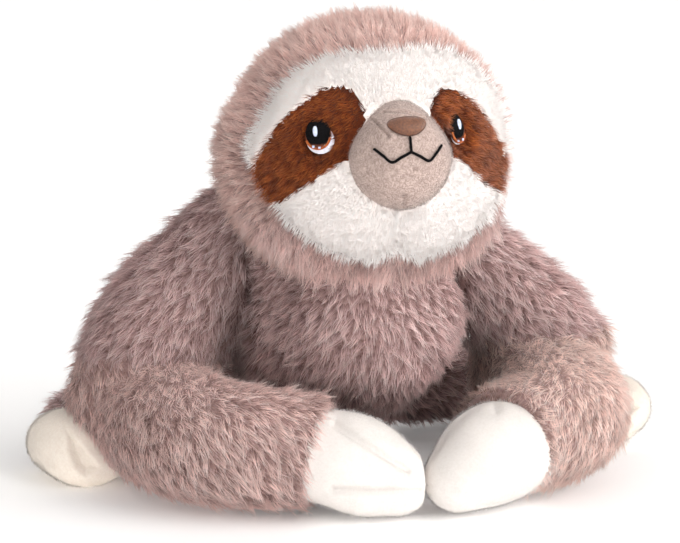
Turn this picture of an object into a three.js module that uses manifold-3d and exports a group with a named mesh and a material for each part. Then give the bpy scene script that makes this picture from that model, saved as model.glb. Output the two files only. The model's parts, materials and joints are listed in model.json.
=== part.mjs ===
// A plush sloth that lies on its belly with its long arms folded in front of it.
// Millimetres. It faces -Y, +X is its own left side, and the floor is z = 0.
import * as THREE from 'three';
import { mergeVertices } from 'three/addons/utils/BufferGeometryUtils.js';
import Module from 'manifold-3d';

const wasm = await Module();
wasm.setup();

// Fabrics and clearances
const longPile = 12; // long fur with its backing cloth
const shortPile = 3; // velvety short fur with its backing cloth
const seamGap = 0.3; // between pieces that are sewn or pressed together
const turnGap = 0.7; // between pieces that turn against each other
const floorFlat = 0.5; // how far soft forms are pressed flat on the floor
const overrun = 60; // how far cutting blocks run past what they cut

// Torso
const chestRadius = 67;
const chestForward = 9.5;
const chestHeight = 82; // the middle of the chest above the floor
const waistWide = 64;
const waistHigh = 75.5;
const waistBack = 36;
const waistHeight = 72;
const rumpRadius = 56;
const rumpBack = 80;
const rumpHeight = 54;

// Head
const headRadius = 86;
const headRise = 108; // head centre above the middle of the chest
const headForward = 2.5; // head centre, in front of the origin
const faceTilt = 8; // degrees that the face looks up
const whitePile = 11; // the white face panels lie a little lower than the fur
const neckHoleRadius = 22;

// Muzzle
const muzzleRadius = 31;
const muzzleReach = 75; // muzzle centre from the head centre
const noseWidth = 23;
const noseHeight = 14;
const noseRise = 17.4; // nose centre above the muzzle axis, along the surface
const noseShift = -2.5; // nose and mouth sit a little to the toy's right of the muzzle's middle
const mouthWidth = 42; // corner to corner, along the surface
const mouthRise = 2.1; // where the two lips meet, above the muzzle axis
const mouthDrop = 5.3; // from there down to the lowest part of each lip line
const mouthCornerRise = 2.9; // from there up to the corners
const philtrumHeight = 8.3;
const threadWidth = 1.8;
const stitchHeight = 1.2; // how far satin stitch stands off its cloth

// Eyes
const eyeSeat = 79; // from the head centre to the cloth that they are sewn on, below the fur
const eyeAside = 46.5; // along the head's surface from the face axis to the middle of an eye
const eyeRise = 13;
const eyeShift = -4.5; // both sit a little to the toy's right of the middle
const eyeWhiteSize = [17.2, 17.2];
const eyeWhitePlace = [-0.6, -1.7]; // outward and up from the middle of the eye
const irisSize = [15.8, 17];
const irisPlace = [0.2, 0.7];
const pupilSize = [13, 14.7];
const pupilPlace = [1.4, 2.7];
const glintSize = [3, 5.6];
const glintPlace = [1.2, 3.2];

// Neck
const neckBandThickness = 2.4;
const neckBandTop = 31; // degrees from straight down, seen from the head centre
const neckBandBottom = 23;
const neckBandMargin = 1; // degrees of room at each edge of the band

// Arms
const shoulderAside = 66; // flat seam where the arm joins the body
const shoulderBack = 37.5;
const shoulderRise = 48; // above the middle of the chest
const shoulderRadius = 38;
const shoulderTuck = 12.7; // how far inside the seam the arm's form starts
const upperArmRadius = 43;
const upperArmAside = 97;
const upperArmBack = 34;
const upperArmHeight = 97;
const elbowRadius = 44;
const elbowAside = 119;
const elbowBack = 24.5;
const elbowSeamHeight = 76; // level seam between upper arm and forearm
const forearmRadius = 42;
const bendRadius = 40;
const cuffRadius = 38;
const shoulderLift = 40; // degrees that the arm swings up
const elbowSwing = 25; // degrees that the forearm swings outward

const armReach = 110; // how far forward the tips of the paws lie

// How each forearm lies on the floor, aside and forward, as shares of that reach
const armLieShares = {
  left: {
    forearm: [0.98, 0.33],
    bend: [0.84, 0.69],
    cuff: [0.56, 0.85],
    paw: [0.37, 0.94],
    tip: [0.21, 1],
  },
  right: {
    forearm: [1.05, 0.31],
    bend: [0.85, 0.67],
    cuff: [0.47, 0.82],
    paw: [0.26, 0.92],
    tip: [0.08, 0.98],
  },
};

// Paws
const pawRadius = 31;
const pawMiddleRadius = 30;
const pawTipRadius = 22;
const pawMeeting = 3; // the paws touch this far to the left of the middle
const pawParting = 1.5; // from that plane to each paw

// Legs
const hipAside = 58;
const hipBack = 91;
const hipRadius = 30;
const hipHeight = 32;
const kneeRadius = 27;
const kneeAside = 112;
const kneeBack = 99;
const shinRadius = 24;
const shinAside = 146;
const shinBack = 84;
const ankleRadius = 21;
const ankleAside = 160;
const ankleBack = 60;
const hipSwing = 25; // degrees that the leg swings back

// Feet
const footWide = 26;
const footHigh = 21;
const footAsideLeft = 168;
const footAsideRight = 164;
const footBack = 38;
const toeWide = 25;
const toeHigh = 19;
const toeBack = 22;

// How finely the forms are cut into faces
const headDetail = 5;
const innerDetail = 3;
const muzzleDetail = 3;
const limbSides = 14;
const fillSides = 8;
const capRings = 3;
const threadSides = 6;
const torsoSides = 18;
const torsoFillSides = 12;
const ovalSides = 12;
const bandSides = 30;
const sweepSteps = 3;

// Colours
const furColour = 0xb9988f;
const whiteColour = 0xf7ede6;
const patchColour = 0x7a3a14;
const muzzleColour = 0xb5a298;
const noseColour = 0xa5683f;
const threadColour = 0x2a2426;
const pawColour = 0xfffdf8;
const footColour = 0xfaebdd;
const fillColour = 0xf4f4f0;
const irisColour = 0xb8501e;
const pupilColour = 0x15131a;
const eyeWhiteColour = 0xedebf5;
const glintColour = 0xdde3f5;
const bandColour = 0x8e6e68;

const headHeight = chestHeight + headRise;
const shoulderHeight = chestHeight + shoulderRise;
const deepInside = headRadius / 2; // where wedges cut from the head start
const eyeFloor = eyeSeat - stitchHeight; // the bottom of the hollow that holds an eye

const headCentre = new THREE.Vector3(0, -headForward, headHeight);
const upward = new THREE.Vector3(0, 0, 1);
const sideways = new THREE.Vector3(1, 0, 0);
const backward = new THREE.Vector3(0, 1, 0);

const handOf = (side) => (side > 0 ? 'left' : 'right');
const footAsideOf = (side) => (side > 0 ? footAsideLeft : footAsideRight);

// Solids from geometries, and back

function solidOf(geometry) {
  const bare = new THREE.BufferGeometry();
  bare.setAttribute('position', geometry.getAttribute('position').clone());
  if (geometry.index) bare.setIndex(geometry.index.clone());
  const merged = mergeVertices(bare);
  return new wasm.Manifold(new wasm.Mesh({
    numProp: 3,
    vertProperties: new Float32Array(merged.getAttribute('position').array),
    triVerts: new Uint32Array(merged.index.array),
  }));
}

function geometryOf(solid) {
  const mesh = solid.getMesh();
  const geometry = new THREE.BufferGeometry();
  geometry.setAttribute('position', new THREE.BufferAttribute(mesh.vertProperties, 3));
  geometry.setIndex(new THREE.BufferAttribute(mesh.triVerts, 1));
  geometry.computeVertexNormals();
  return geometry;
}

function ball(radius, centre, detail) {
  const geometry = new THREE.IcosahedronGeometry(radius, detail);
  geometry.translate(centre.x, centre.y, centre.z);
  return solidOf(geometry);
}

// A block that holds everything past a point in the direction given.
function blockPast(point, direction) {
  const reach = headHeight + overrun;
  const geometry = new THREE.BoxGeometry(reach * 2, reach * 2, reach * 2);
  const turn = new THREE.Quaternion().setFromUnitVectors(upward, direction.clone().normalize());
  geometry.translate(0, 0, reach);
  geometry.applyQuaternion(turn);
  geometry.translate(point.x, point.y, point.z);
  return solidOf(geometry);
}

// The same solid turned about an axis through a pivot.
function turned(solid, pivot, axis, degrees) {
  const geometry = geometryOf(solid);
  geometry.translate(-pivot.x, -pivot.y, -pivot.z);
  const angle = THREE.MathUtils.degToRad(degrees);
  geometry.applyQuaternion(new THREE.Quaternion().setFromAxisAngle(axis, angle));
  geometry.translate(pivot.x, pivot.y, pivot.z);
  return solidOf(geometry);
}

// All the space that a solid passes through while it turns.
function swept(solid, pivot, axis, degrees, steps) {
  let space = solid;
  for (let step = 1; step <= steps; step += 1) {
    space = space.add(turned(solid, pivot, axis, (degrees * step) / steps));
  }
  return space;
}

// Closed skin over rings of points, with a pole at each end.
function skinOver(rings, firstPole, lastPole) {
  const sides = rings[0].length;
  const points = [firstPole, ...rings.flat(), lastPole];
  const lastIndex = points.length - 1;
  const faces = [];
  const at = (ring, side) => 1 + ring * sides + (side % sides);
  for (let side = 0; side < sides; side += 1) {
    faces.push(0, at(0, side + 1), at(0, side));
    for (let ring = 0; ring < rings.length - 1; ring += 1) {
      faces.push(at(ring, side), at(ring, side + 1), at(ring + 1, side + 1));
      faces.push(at(ring, side), at(ring + 1, side + 1), at(ring + 1, side));
    }
    faces.push(lastIndex, at(rings.length - 1, side), at(rings.length - 1, side + 1));
  }
  const geometry = new THREE.BufferGeometry();
  geometry.setFromPoints(points);
  geometry.setIndex(faces);
  return geometry;
}

function station(x, y, z, wide, high = wide) {
  return { at: new THREE.Vector3(x, y, z), size: new THREE.Vector3(wide, high, 0) };
}

// A stuffed form: round sections along a smooth line, swelling and tapering, with domed ends.
// The inset shrinks it, for what lies inside.
function stuffedForm(stations, wideAxis, { inset = 0, sides = limbSides, steps = 2 } = {}) {
  const line = new THREE.CatmullRomCurve3(stations.map((s) => s.at), false, 'catmullrom');
  const sizes = new THREE.CatmullRomCurve3(stations.map((s) => s.size), false, 'catmullrom');
  const ringAt = (share, lean) => {
    const centre = line.getPoint(share);
    const along = line.getTangent(share);
    const size = sizes.getPoint(share);
    const wide = wideAxis.clone().addScaledVector(along, -wideAxis.dot(along)).normalize();
    const high = new THREE.Vector3().crossVectors(along, wide);
    const shrink = Math.cos(lean);
    const reach = Math.min(size.x, size.y) - inset;
    centre.addScaledVector(along, reach * Math.sin(lean));
    const ring = [];
    for (let side = 0; side < sides; side += 1) {
      const angle = (side / sides) * Math.PI * 2;
      ring.push(centre.clone()
        .addScaledVector(wide, (size.x - inset) * shrink * Math.cos(angle))
        .addScaledVector(high, (size.y - inset) * shrink * Math.sin(angle)));
    }
    return { ring, centre };
  };
  const rings = [];
  const quarter = Math.PI / 2;
  for (let cap = 1; cap < capRings; cap += 1) {
    rings.push(ringAt(0, -quarter * (1 - cap / capRings)).ring);
  }
  const count = steps * (stations.length - 1);
  for (let step = 0; step <= count; step += 1) rings.push(ringAt(step / count, 0).ring);
  for (let cap = capRings - 1; cap > 0; cap -= 1) {
    rings.push(ringAt(1, quarter * (1 - cap / capRings)).ring);
  }
  return solidOf(skinOver(rings, ringAt(0, -quarter).centre, ringAt(1, quarter).centre));
}

// A soft cover over a form and the fill inside it, both open or cut where the piece is sewn on.
function coverAndFill(makeForm, thickness, cuts) {
  const cutAll = (solid) => cuts.reduce((rest, cut) => rest.subtract(cut), solid);
  const cover = cutAll(makeForm({}).subtract(makeForm({ inset: thickness, sides: fillSides })));
  const fill = cutAll(makeForm({ inset: thickness + seamGap, sides: fillSides }));
  return { cover, fill };
}

const floorBlock = blockPast(new THREE.Vector3(0, 0, 0), upward.clone().negate());

// How high a round form lies when it is pressed flat on the floor.
const lowOn = (radius) => radius - floorFlat;

// Places on a ball, in millimetres along its surface from its front

function frameOnBall(centre, tilt) {
  const front = new THREE.Vector3(0, -1, 0).applyAxisAngle(sideways, THREE.MathUtils.degToRad(-tilt));
  const rise = new THREE.Vector3().crossVectors(sideways, front).negate();
  return { centre, front, rise };
}

function directionOnBall(frame, radius, aside, up) {
  const angle = Math.hypot(aside, up) / radius;
  if (angle === 0) return frame.front.clone();
  const lean = new THREE.Vector3()
    .addScaledVector(sideways, aside)
    .addScaledVector(frame.rise, up)
    .normalize();
  return frame.front.clone().multiplyScalar(Math.cos(angle)).addScaledVector(lean, Math.sin(angle));
}

function middleOf(outline) {
  return [0, 1].map((axis) => outline.reduce((sum, point) => sum + point[axis], 0) / outline.length);
}

// Everything within an outline on a ball, from one radius out to another.
function wedgeOnBall(frame, radius, outline, inner, outer) {
  const area = outline.reduce((sum, [x, y], index) => {
    const [nextX, nextY] = outline[(index + 1) % outline.length];
    return sum + x * nextY - y * nextX;
  }, 0);
  const loop = area > 0 ? outline : [...outline].reverse();
  const middle = middleOf(loop);
  const spot = ([aside, up], distance) => directionOnBall(frame, radius, aside, up)
    .multiplyScalar(distance)
    .add(frame.centre);
  const ringAt = (distance) => loop.map((point) => spot(point, distance));
  return solidOf(skinOver([ringAt(inner), ringAt(outer)], spot(middle, inner), spot(middle, outer)));
}

function oval(aside, up, width, height, points, lean = 0) {
  const outline = [];
  for (let index = 0; index < points; index += 1) {
    const angle = (index / points) * Math.PI * 2;
    const x = (width / 2) * Math.cos(angle);
    const y = (height / 2) * Math.sin(angle);
    outline.push([
      aside + x * Math.cos(lean) - y * Math.sin(lean),
      up + x * Math.sin(lean) + y * Math.cos(lean),
    ]);
  }
  return outline;
}

const group = new THREE.Group();

function addPiece(name, solid, color, roughness = 1) {
  const material = new THREE.MeshStandardMaterial({ color, roughness, metalness: 0 });
  const mesh = new THREE.Mesh(geometryOf(solid), material);
  mesh.name = name;
  group.add(mesh);
}

// Head

const faceFrame = frameOnBall(headCentre, faceTilt);
const muzzleCentre = faceFrame.front.clone().multiplyScalar(muzzleReach).add(headCentre);
const muzzleFrame = { ...faceFrame, centre: muzzleCentre };

// Half of the white face from the brow to the chin, as shares of the head radius.
const faceOutlineShares = [
  [0.0, 0.76], [0.3, 0.79], [0.58, 0.76], [0.8, 0.65], [0.98, 0.45], [1.1, 0.22], [1.12, -0.02],
  [1.02, -0.25], [0.88, -0.43], [0.72, -0.6], [0.5, -0.73], [0.25, -0.8], [0.07, -0.78], [0.0, -0.74],
];

// The brown patch round the left eye, as shares of the head radius.
const patchOutlineShares = [
  [0.36, 0.46], [0.5, 0.46], [0.66, 0.38], [0.82, 0.27], [0.95, 0.13], [1.07, -0.02], [1.08, -0.16],
  [0.99, -0.29], [0.9, -0.34], [0.78, -0.28], [0.66, -0.19], [0.52, -0.1], [0.4, -0.04],
  [0.34, 0.1], [0.27, 0.24], [0.29, 0.38],
];

// The part of the face below the patches on the left side, as shares of the head radius.
const cheekOutlineShares = [
  [0.0, 0.0], [0.0, -1.0], [0.6, -1.0], [1.2, -0.6], [1.25, -0.3], [0.97, -0.22], [0.4, 0.1],
];

// One lip line from the middle out, as shares of the mouth's width and drop.
const lipShares = [[0, 0], [0.12, 0.49], [0.25, 1], [0.37, 0.25]];

// Half of the nose from the top down, as shares of its width and height.
const noseShares = [
  [0, 0.5], [0.25, 0.47], [0.43, 0.35], [0.5, 0.15], [0.44, -0.1], [0.32, -0.3], [0.16, -0.45], [0, -0.5],
];

// A whole outline from one half of it, whose ends lie on the middle line.
function mirrored(half) {
  const otherHalf = half.slice(1, -1).reverse().map(([x, y]) => [-x, y]);
  return [...half, ...otherHalf];
}

const headShares = (shares, side) => shares.map(([x, y]) => [x * headRadius * side, y * headRadius]);

function faceWedge(margin) {
  const grow = 1 + margin / headRadius;
  const outline = mirrored(headShares(faceOutlineShares, 1).map(([x, y]) => [x * grow, y * grow]));
  return wedgeOnBall(faceFrame, headRadius, outline, deepInside, headRadius + overrun);
}

function patchWedge(side, margin) {
  const outline = headShares(patchOutlineShares, side);
  const middle = middleOf(outline);
  const grown = outline.map((point) => {
    const out = [point[0] - middle[0], point[1] - middle[1]];
    const grow = 1 + margin / Math.hypot(...out);
    return [middle[0] + out[0] * grow, middle[1] + out[1] * grow];
  });
  return wedgeOnBall(faceFrame, headRadius, grown, deepInside, headRadius + overrun);
}

// An oval that belongs to one eye, on the head's ball.
function eyeOval(side, [outside, up], [width, height], margin) {
  const aside = side * (eyeAside + outside) + eyeShift;
  return oval(aside, eyeRise + up, width + margin * 2, height + margin * 2, ovalSides);
}

// The hollow in a patch that holds the whole eye.
function eyeSpace(side) {
  const places = [[eyeWhitePlace, eyeWhiteSize], [irisPlace, irisSize], [pupilPlace, pupilSize]];
  return places
    .map(([place, size]) => eyeOval(side, place, size, seamGap))
    .map((outline) => wedgeOnBall(faceFrame, headRadius, outline, eyeFloor, headRadius + overrun))
    .reduce((space, wedge) => space.add(wedge));
}

function makeHead() {
  const fillRadius = headRadius - longPile;
  const fillSpace = ball(fillRadius, headCentre, innerDetail);
  const whiteRadius = fillRadius + whitePile;
  const muzzleSpace = ball(muzzleRadius + seamGap, muzzleCentre, muzzleDetail);
  const face = faceWedge(0);
  const neckHole = new THREE.CylinderGeometry(neckHoleRadius, neckHoleRadius, headRadius, limbSides);
  neckHole.rotateX(Math.PI / 2);
  neckHole.translate(0, -headForward, headHeight - headRadius);

  const headCover = ball(headRadius, headCentre, headDetail)
    .subtract(fillSpace)
    .subtract(faceWedge(seamGap))
    .subtract(solidOf(neckHole));
  addPiece('head_cover', headCover, furColour);
  addPiece('head_stuffing', ball(fillRadius - seamGap, headCentre, innerDetail), fillColour);

  const whiteShell = ball(whiteRadius, headCentre, headDetail)
    .subtract(fillSpace)
    .intersect(face)
    .subtract(muzzleSpace);
  const patchShell = ball(headRadius, headCentre, headDetail)
    .subtract(fillSpace)
    .intersect(face)
    .subtract(muzzleSpace);
  let brow = whiteShell;
  for (const [side, hand] of [[1, 'left'], [-1, 'right']]) {
    const cheekRegion = (inset) => {
      const outline = headShares(cheekOutlineShares, side).map(([x, y]) => [x + side * inset, y]);
      return wedgeOnBall(faceFrame, headRadius, outline, deepInside, headRadius + overrun);
    };
    const patchSpace = patchWedge(side, seamGap);
    brow = brow.subtract(cheekRegion(0)).subtract(patchSpace);
    const cheek = whiteShell.intersect(cheekRegion(seamGap / 2)).subtract(patchSpace);
    addPiece(`cheek_panel_${hand}`, cheek, whiteColour);
    const patch = patchShell.intersect(patchWedge(side, 0)).subtract(eyeSpace(side));
    addPiece(`eye_patch_${hand}`, patch, patchColour);
  }
  addPiece('brow_panel', brow, whiteColour);
}

// A patch of satin stitch on a ball of its own radius, within an outline on the frame's ball.
function stitchedOn(frame, radius, seat, detail, outline) {
  const base = seat + seamGap;
  const shell = ball(base + stitchHeight, frame.centre, detail).subtract(ball(base, frame.centre, detail));
  return shell.intersect(wedgeOnBall(frame, radius, outline, radius / 2, radius + overrun));
}

function cordOver(points) {
  const round = new THREE.Shape();
  round.absarc(0, 0, threadWidth / 2, 0, Math.PI * 2);
  const path = new THREE.CatmullRomCurve3(points);
  const settings = { steps: (points.length - 1) * 2, extrudePath: path, curveSegments: threadSides / 2 };
  return solidOf(new THREE.ExtrudeGeometry(round, settings));
}

function makeMuzzle() {
  const fillSpace = ball(headRadius - longPile + seamGap, headCentre, innerDetail);
  const inside = muzzleRadius - shortPile;
  const cover = ball(muzzleRadius, muzzleCentre, muzzleDetail)
    .subtract(ball(inside, muzzleCentre, muzzleDetail))
    .subtract(fillSpace);
  const fill = ball(inside - seamGap, muzzleCentre, muzzleDetail).subtract(fillSpace);
  addPiece('muzzle_cover', cover, muzzleColour);
  addPiece('muzzle_stuffing', fill, fillColour);

  const noseHalf = noseShares.map(([x, y]) => [x * noseWidth, y * noseHeight]);
  const noseOutline = mirrored(noseHalf).map(([x, y]) => [noseShift + x, noseRise + y]);
  const nose = stitchedOn(muzzleFrame, muzzleRadius, muzzleRadius, muzzleDetail, noseOutline);
  addPiece('nose', nose, noseColour, 0.5);

  const threadLie = muzzleRadius + threadWidth / 2 + seamGap;
  const onMuzzle = (x, y) => directionOnBall(muzzleFrame, muzzleRadius, noseShift + x, mouthRise + y)
    .multiplyScalar(threadLie)
    .add(muzzleCentre);
  const lipPoints = lipShares.map(([across, down]) => [mouthWidth * across, -mouthDrop * down]);
  lipPoints.push([mouthWidth / 2, mouthCornerRise]);
  let mouth = cordOver([0, 0.5, 1].map((share) => onMuzzle(0, philtrumHeight * share)));
  for (const side of [1, -1]) {
    mouth = mouth.add(cordOver(lipPoints.map(([aside, up]) => onMuzzle(side * aside, up))));
  }
  addPiece('mouth_line', mouth, threadColour, 0.6);
}

function makeEyes() {
  for (const [side, hand] of [[1, 'left'], [-1, 'right']]) {
    const stitched = (place, size) => stitchedOn(
      faceFrame, headRadius, eyeSeat, headDetail, eyeOval(side, place, size, 0));
    const space = (place, size) => wedgeOnBall(
      faceFrame, headRadius, eyeOval(side, place, size, seamGap), deepInside, headRadius + overrun);
    const glintSpace = space(glintPlace, glintSize);
    const pupilSpace = space(pupilPlace, pupilSize);
    const irisSpace = space(irisPlace, irisSize);
    const white = stitched(eyeWhitePlace, eyeWhiteSize).subtract(irisSpace).subtract(pupilSpace);
    const iris = stitched(irisPlace, irisSize).subtract(pupilSpace);
    const pupil = stitched(pupilPlace, pupilSize).subtract(glintSpace);
    addPiece(`eye_white_${hand}`, white, eyeWhiteColour, 0.5);
    addPiece(`eye_iris_${hand}`, iris, irisColour, 0.5);
    addPiece(`eye_pupil_${hand}`, pupil, pupilColour, 0.5);
    addPiece(`eye_glint_${hand}`, stitched(glintPlace, glintSize), glintColour, 0.5);
  }
}

// Torso

const headSpace = ball(headRadius + turnGap, headCentre, headDetail);

// The ring of doubled cloth at the neck seam, from one angle off straight down to another.
function neckRing(inner, outer, fromAngle, toAngle) {
  const spot = (radius, degrees) => {
    const angle = THREE.MathUtils.degToRad(degrees);
    return new THREE.Vector2(radius * Math.sin(angle), -radius * Math.cos(angle));
  };
  const start = spot(inner, fromAngle);
  const profile = [start, spot(outer, fromAngle), spot(outer, toAngle), spot(inner, toAngle), start];
  const geometry = new THREE.LatheGeometry(profile, bandSides);
  geometry.rotateX(Math.PI / 2);
  geometry.translate(headCentre.x, headCentre.y, headCentre.z);
  return solidOf(geometry);
}

function hipCentre(side) {
  return new THREE.Vector3(side * hipAside, hipBack, hipHeight);
}

function legForm(side, options) {
  const { x, y, z } = hipCentre(side);
  return stuffedForm([
    station(x, y, z, hipRadius),
    station(side * kneeAside, kneeBack, lowOn(kneeRadius), kneeRadius),
    station(side * shinAside, shinBack, lowOn(shinRadius), shinRadius),
    station(side * ankleAside, ankleBack, lowOn(ankleRadius), ankleRadius),
    station(side * footAsideOf(side), footBack, lowOn(ankleRadius), ankleRadius),
  ], upward, options);
}

function torsoForm(options) {
  const sides = options.inset ? torsoFillSides : torsoSides;
  const body = stuffedForm([
    station(0, rumpBack, rumpHeight, rumpRadius),
    station(0, waistBack, waistHeight, waistWide, waistHigh),
    station(0, -chestForward, chestHeight, chestRadius),
  ], sideways, { ...options, sides });
  const reach = shoulderAside + shoulderRadius;
  const yoke = stuffedForm([
    station(-reach, shoulderBack, shoulderHeight, shoulderRadius),
    station(reach, shoulderBack, shoulderHeight, shoulderRadius),
  ], upward, options);
  return body.add(yoke);
}

const shoulderSeam = (side, gap) => new THREE.Vector3(side * (shoulderAside + gap), 0, 0);
const outward = (side) => new THREE.Vector3(side, 0, 0);

function makeTorso() {
  const bandInner = headRadius + turnGap;
  const bandOuter = bandInner + neckBandThickness;
  addPiece('neck_band', neckRing(bandInner, bandOuter, neckBandBottom, neckBandTop), bandColour);
  const bandSpace = neckRing(deepInside, bandOuter + turnGap, neckBandBottom - neckBandMargin,
    neckBandTop + neckBandMargin);
  const cuts = [floorBlock, headSpace, bandSpace];
  for (const side of [1, -1]) {
    cuts.push(blockPast(shoulderSeam(side, -seamGap), outward(side)));
    const leg = legForm(side, { inset: -turnGap });
    cuts.push(ball(hipRadius + turnGap * 2, hipCentre(side), innerDetail));
    cuts.push(swept(leg, hipCentre(side), upward, side * hipSwing, sweepSteps));
  }
  const { cover, fill } = coverAndFill(torsoForm, longPile, cuts);
  addPiece('torso_cover', cover, furColour);
  addPiece('torso_stuffing', fill, fillColour);
}

// Arms

function elbowCentre(side) {
  return new THREE.Vector3(side * elbowAside, elbowBack, lowOn(elbowRadius));
}

function upperArmForm(side, options) {
  const elbow = elbowCentre(side);
  return stuffedForm([
    station(side * (shoulderAside - shoulderTuck), shoulderBack, shoulderHeight, shoulderRadius),
    station(side * upperArmAside, upperArmBack, upperArmHeight, upperArmRadius),
    station(elbow.x, elbow.y, elbow.z + elbowRadius / 2, elbowRadius),
    station(elbow.x, elbow.y, elbow.z, elbowRadius),
  ], backward, options);
}

function forearmForm(side, options) {
  const elbow = elbowCentre(side);
  const joint = stuffedForm([
    station(elbow.x, elbow.y, elbow.z, elbowRadius),
    station(elbow.x, elbow.y, elbowSeamHeight, elbowRadius),
  ], backward, options);
  const wrist = cuffCentre(side);
  const along = cuffDirection(side);
  const sleeve = stuffedForm([
    station(elbow.x, elbow.y, elbow.z, forearmRadius),
    lieStation(side, 'forearm', forearmRadius),
    lieStation(side, 'bend', bendRadius),
    lieStation(side, 'cuff', cuffRadius),
    station(wrist.x + along.x * cuffRadius, wrist.y + along.y * cuffRadius, lowOn(cuffRadius), cuffRadius),
  ], upward, options);
  return joint.add(sleeve);
}

function lieStation(side, place, radius) {
  const [aside, forward] = armLieShares[handOf(side)][place];
  return station(side * armReach * aside, -armReach * forward, lowOn(radius), radius);
}

function cuffCentre(side) {
  return lieStation(side, 'cuff', cuffRadius).at;
}

function cuffDirection(side) {
  const middle = lieStation(side, 'paw', cuffRadius).at;
  return middle.sub(cuffCentre(side)).normalize();
}

function pawForm(side, options) {
  const wrist = cuffCentre(side);
  const along = cuffDirection(side);
  return stuffedForm([
    station(wrist.x - along.x * pawRadius, wrist.y - along.y * pawRadius, lowOn(pawRadius), pawRadius),
    station(wrist.x, wrist.y, lowOn(pawRadius), pawRadius),
    lieStation(side, 'paw', pawMiddleRadius),
    lieStation(side, 'tip', pawTipRadius),
  ], upward, options);
}

function makeArm(side, hand) {
  const swingAxis = sideways.clone().negate();
  const shoulder = new THREE.Vector3(side * shoulderAside, shoulderBack, shoulderHeight);
  const headBall = ball(headRadius + turnGap * 2, headCentre, innerDetail);
  const headSweep = swept(headBall, shoulder, swingAxis, -shoulderLift, sweepSteps);
  const elbowSeam = new THREE.Vector3(0, 0, elbowSeamHeight);
  const aboveElbow = elbowSeam.clone().setZ(elbowSeamHeight + seamGap);
  const inward = outward(-side);

  const upper = coverAndFill((options) => upperArmForm(side, options), longPile, [
    blockPast(shoulderSeam(side, 0), inward),
    blockPast(aboveElbow, upward.clone().negate()),
    headSweep,
  ]);
  addPiece(`upper_arm_cover_${hand}`, upper.cover, furColour);
  addPiece(`upper_arm_stuffing_${hand}`, upper.fill, fillColour);

  const along = cuffDirection(side);
  const middlePlane = new THREE.Vector3(pawMeeting + side * pawParting, 0, 0);
  const lower = coverAndFill((options) => forearmForm(side, options), longPile, [
    blockPast(elbowSeam, upward),
    blockPast(cuffCentre(side), along),
    floorBlock,
  ]);
  addPiece(`forearm_cover_${hand}`, lower.cover, furColour);
  addPiece(`forearm_stuffing_${hand}`, lower.fill, fillColour);

  const beyondCuff = cuffCentre(side).addScaledVector(along, seamGap);
  const paw = coverAndFill((options) => pawForm(side, options), shortPile, [
    blockPast(beyondCuff, along.clone().negate()),
    blockPast(middlePlane, inward),
    floorBlock,
  ]);
  addPiece(`paw_cover_${hand}`, paw.cover, pawColour);
  addPiece(`paw_stuffing_${hand}`, paw.fill, fillColour);
}

// Legs

function footForm(side, options) {
  return stuffedForm([
    station(side * ankleAside, ankleBack + ankleRadius / 3, lowOn(footHigh), footWide, footHigh),
    station(side * footAsideOf(side), footBack, lowOn(footHigh), footWide, footHigh),
    station(side * footAsideOf(side), toeBack, lowOn(toeHigh), toeWide, toeHigh),
  ], sideways, options);
}

function makeLeg(side, hand) {
  const ankle = new THREE.Vector3(side * ankleAside, ankleBack, 0);
  const forward = backward.clone().negate();
  const leg = coverAndFill((options) => legForm(side, options), longPile, [
    blockPast(ankle, forward),
    floorBlock,
  ]);
  addPiece(`leg_cover_${hand}`, leg.cover, furColour);
  addPiece(`leg_stuffing_${hand}`, leg.fill, fillColour);

  const forearm = forearmForm(side, { inset: -turnGap * 2 });
  const foot = coverAndFill((options) => footForm(side, options), shortPile, [
    blockPast(ankle.clone().addScaledVector(forward, seamGap), backward),
    swept(forearm, elbowCentre(side), upward, side * elbowSwing, sweepSteps),
    floorBlock,
  ]);
  addPiece(`foot_cover_${hand}`, foot.cover, footColour);
  addPiece(`foot_stuffing_${hand}`, foot.fill, fillColour);
}

makeHead();
makeMuzzle();
makeEyes();
makeTorso();
for (const [side, hand] of [[1, 'left'], [-1, 'right']]) {
  makeArm(side, hand);
  makeLeg(side, hand);
}

export default group;
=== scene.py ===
import json
import math

import bpy
import bmesh
import numpy as np
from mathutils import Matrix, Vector

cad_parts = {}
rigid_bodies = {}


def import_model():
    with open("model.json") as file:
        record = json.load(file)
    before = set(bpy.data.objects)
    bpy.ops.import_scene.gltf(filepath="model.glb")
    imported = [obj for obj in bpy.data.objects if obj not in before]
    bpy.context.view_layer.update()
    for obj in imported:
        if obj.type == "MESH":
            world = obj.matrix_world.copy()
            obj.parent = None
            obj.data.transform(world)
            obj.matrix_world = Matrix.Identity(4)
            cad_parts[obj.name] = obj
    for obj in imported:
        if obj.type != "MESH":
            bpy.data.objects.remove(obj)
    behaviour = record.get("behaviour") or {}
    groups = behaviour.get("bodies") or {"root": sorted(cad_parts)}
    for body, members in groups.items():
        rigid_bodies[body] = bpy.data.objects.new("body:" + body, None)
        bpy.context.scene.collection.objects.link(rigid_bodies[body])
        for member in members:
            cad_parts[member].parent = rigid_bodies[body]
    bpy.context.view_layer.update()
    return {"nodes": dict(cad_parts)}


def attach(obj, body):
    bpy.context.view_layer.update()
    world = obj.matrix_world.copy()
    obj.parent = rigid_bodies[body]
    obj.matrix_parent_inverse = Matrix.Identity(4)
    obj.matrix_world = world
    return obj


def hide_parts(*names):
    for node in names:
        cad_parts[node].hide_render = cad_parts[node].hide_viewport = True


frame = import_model()

MM = 0.001
HANDS = (("left", 1), ("right", -1))
UP = np.array((0.0, 0.0, 1.0))
ASIDE = np.array((1.0, 0.0, 0.0))
BACK = np.array((0.0, 1.0, 0.0))

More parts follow.
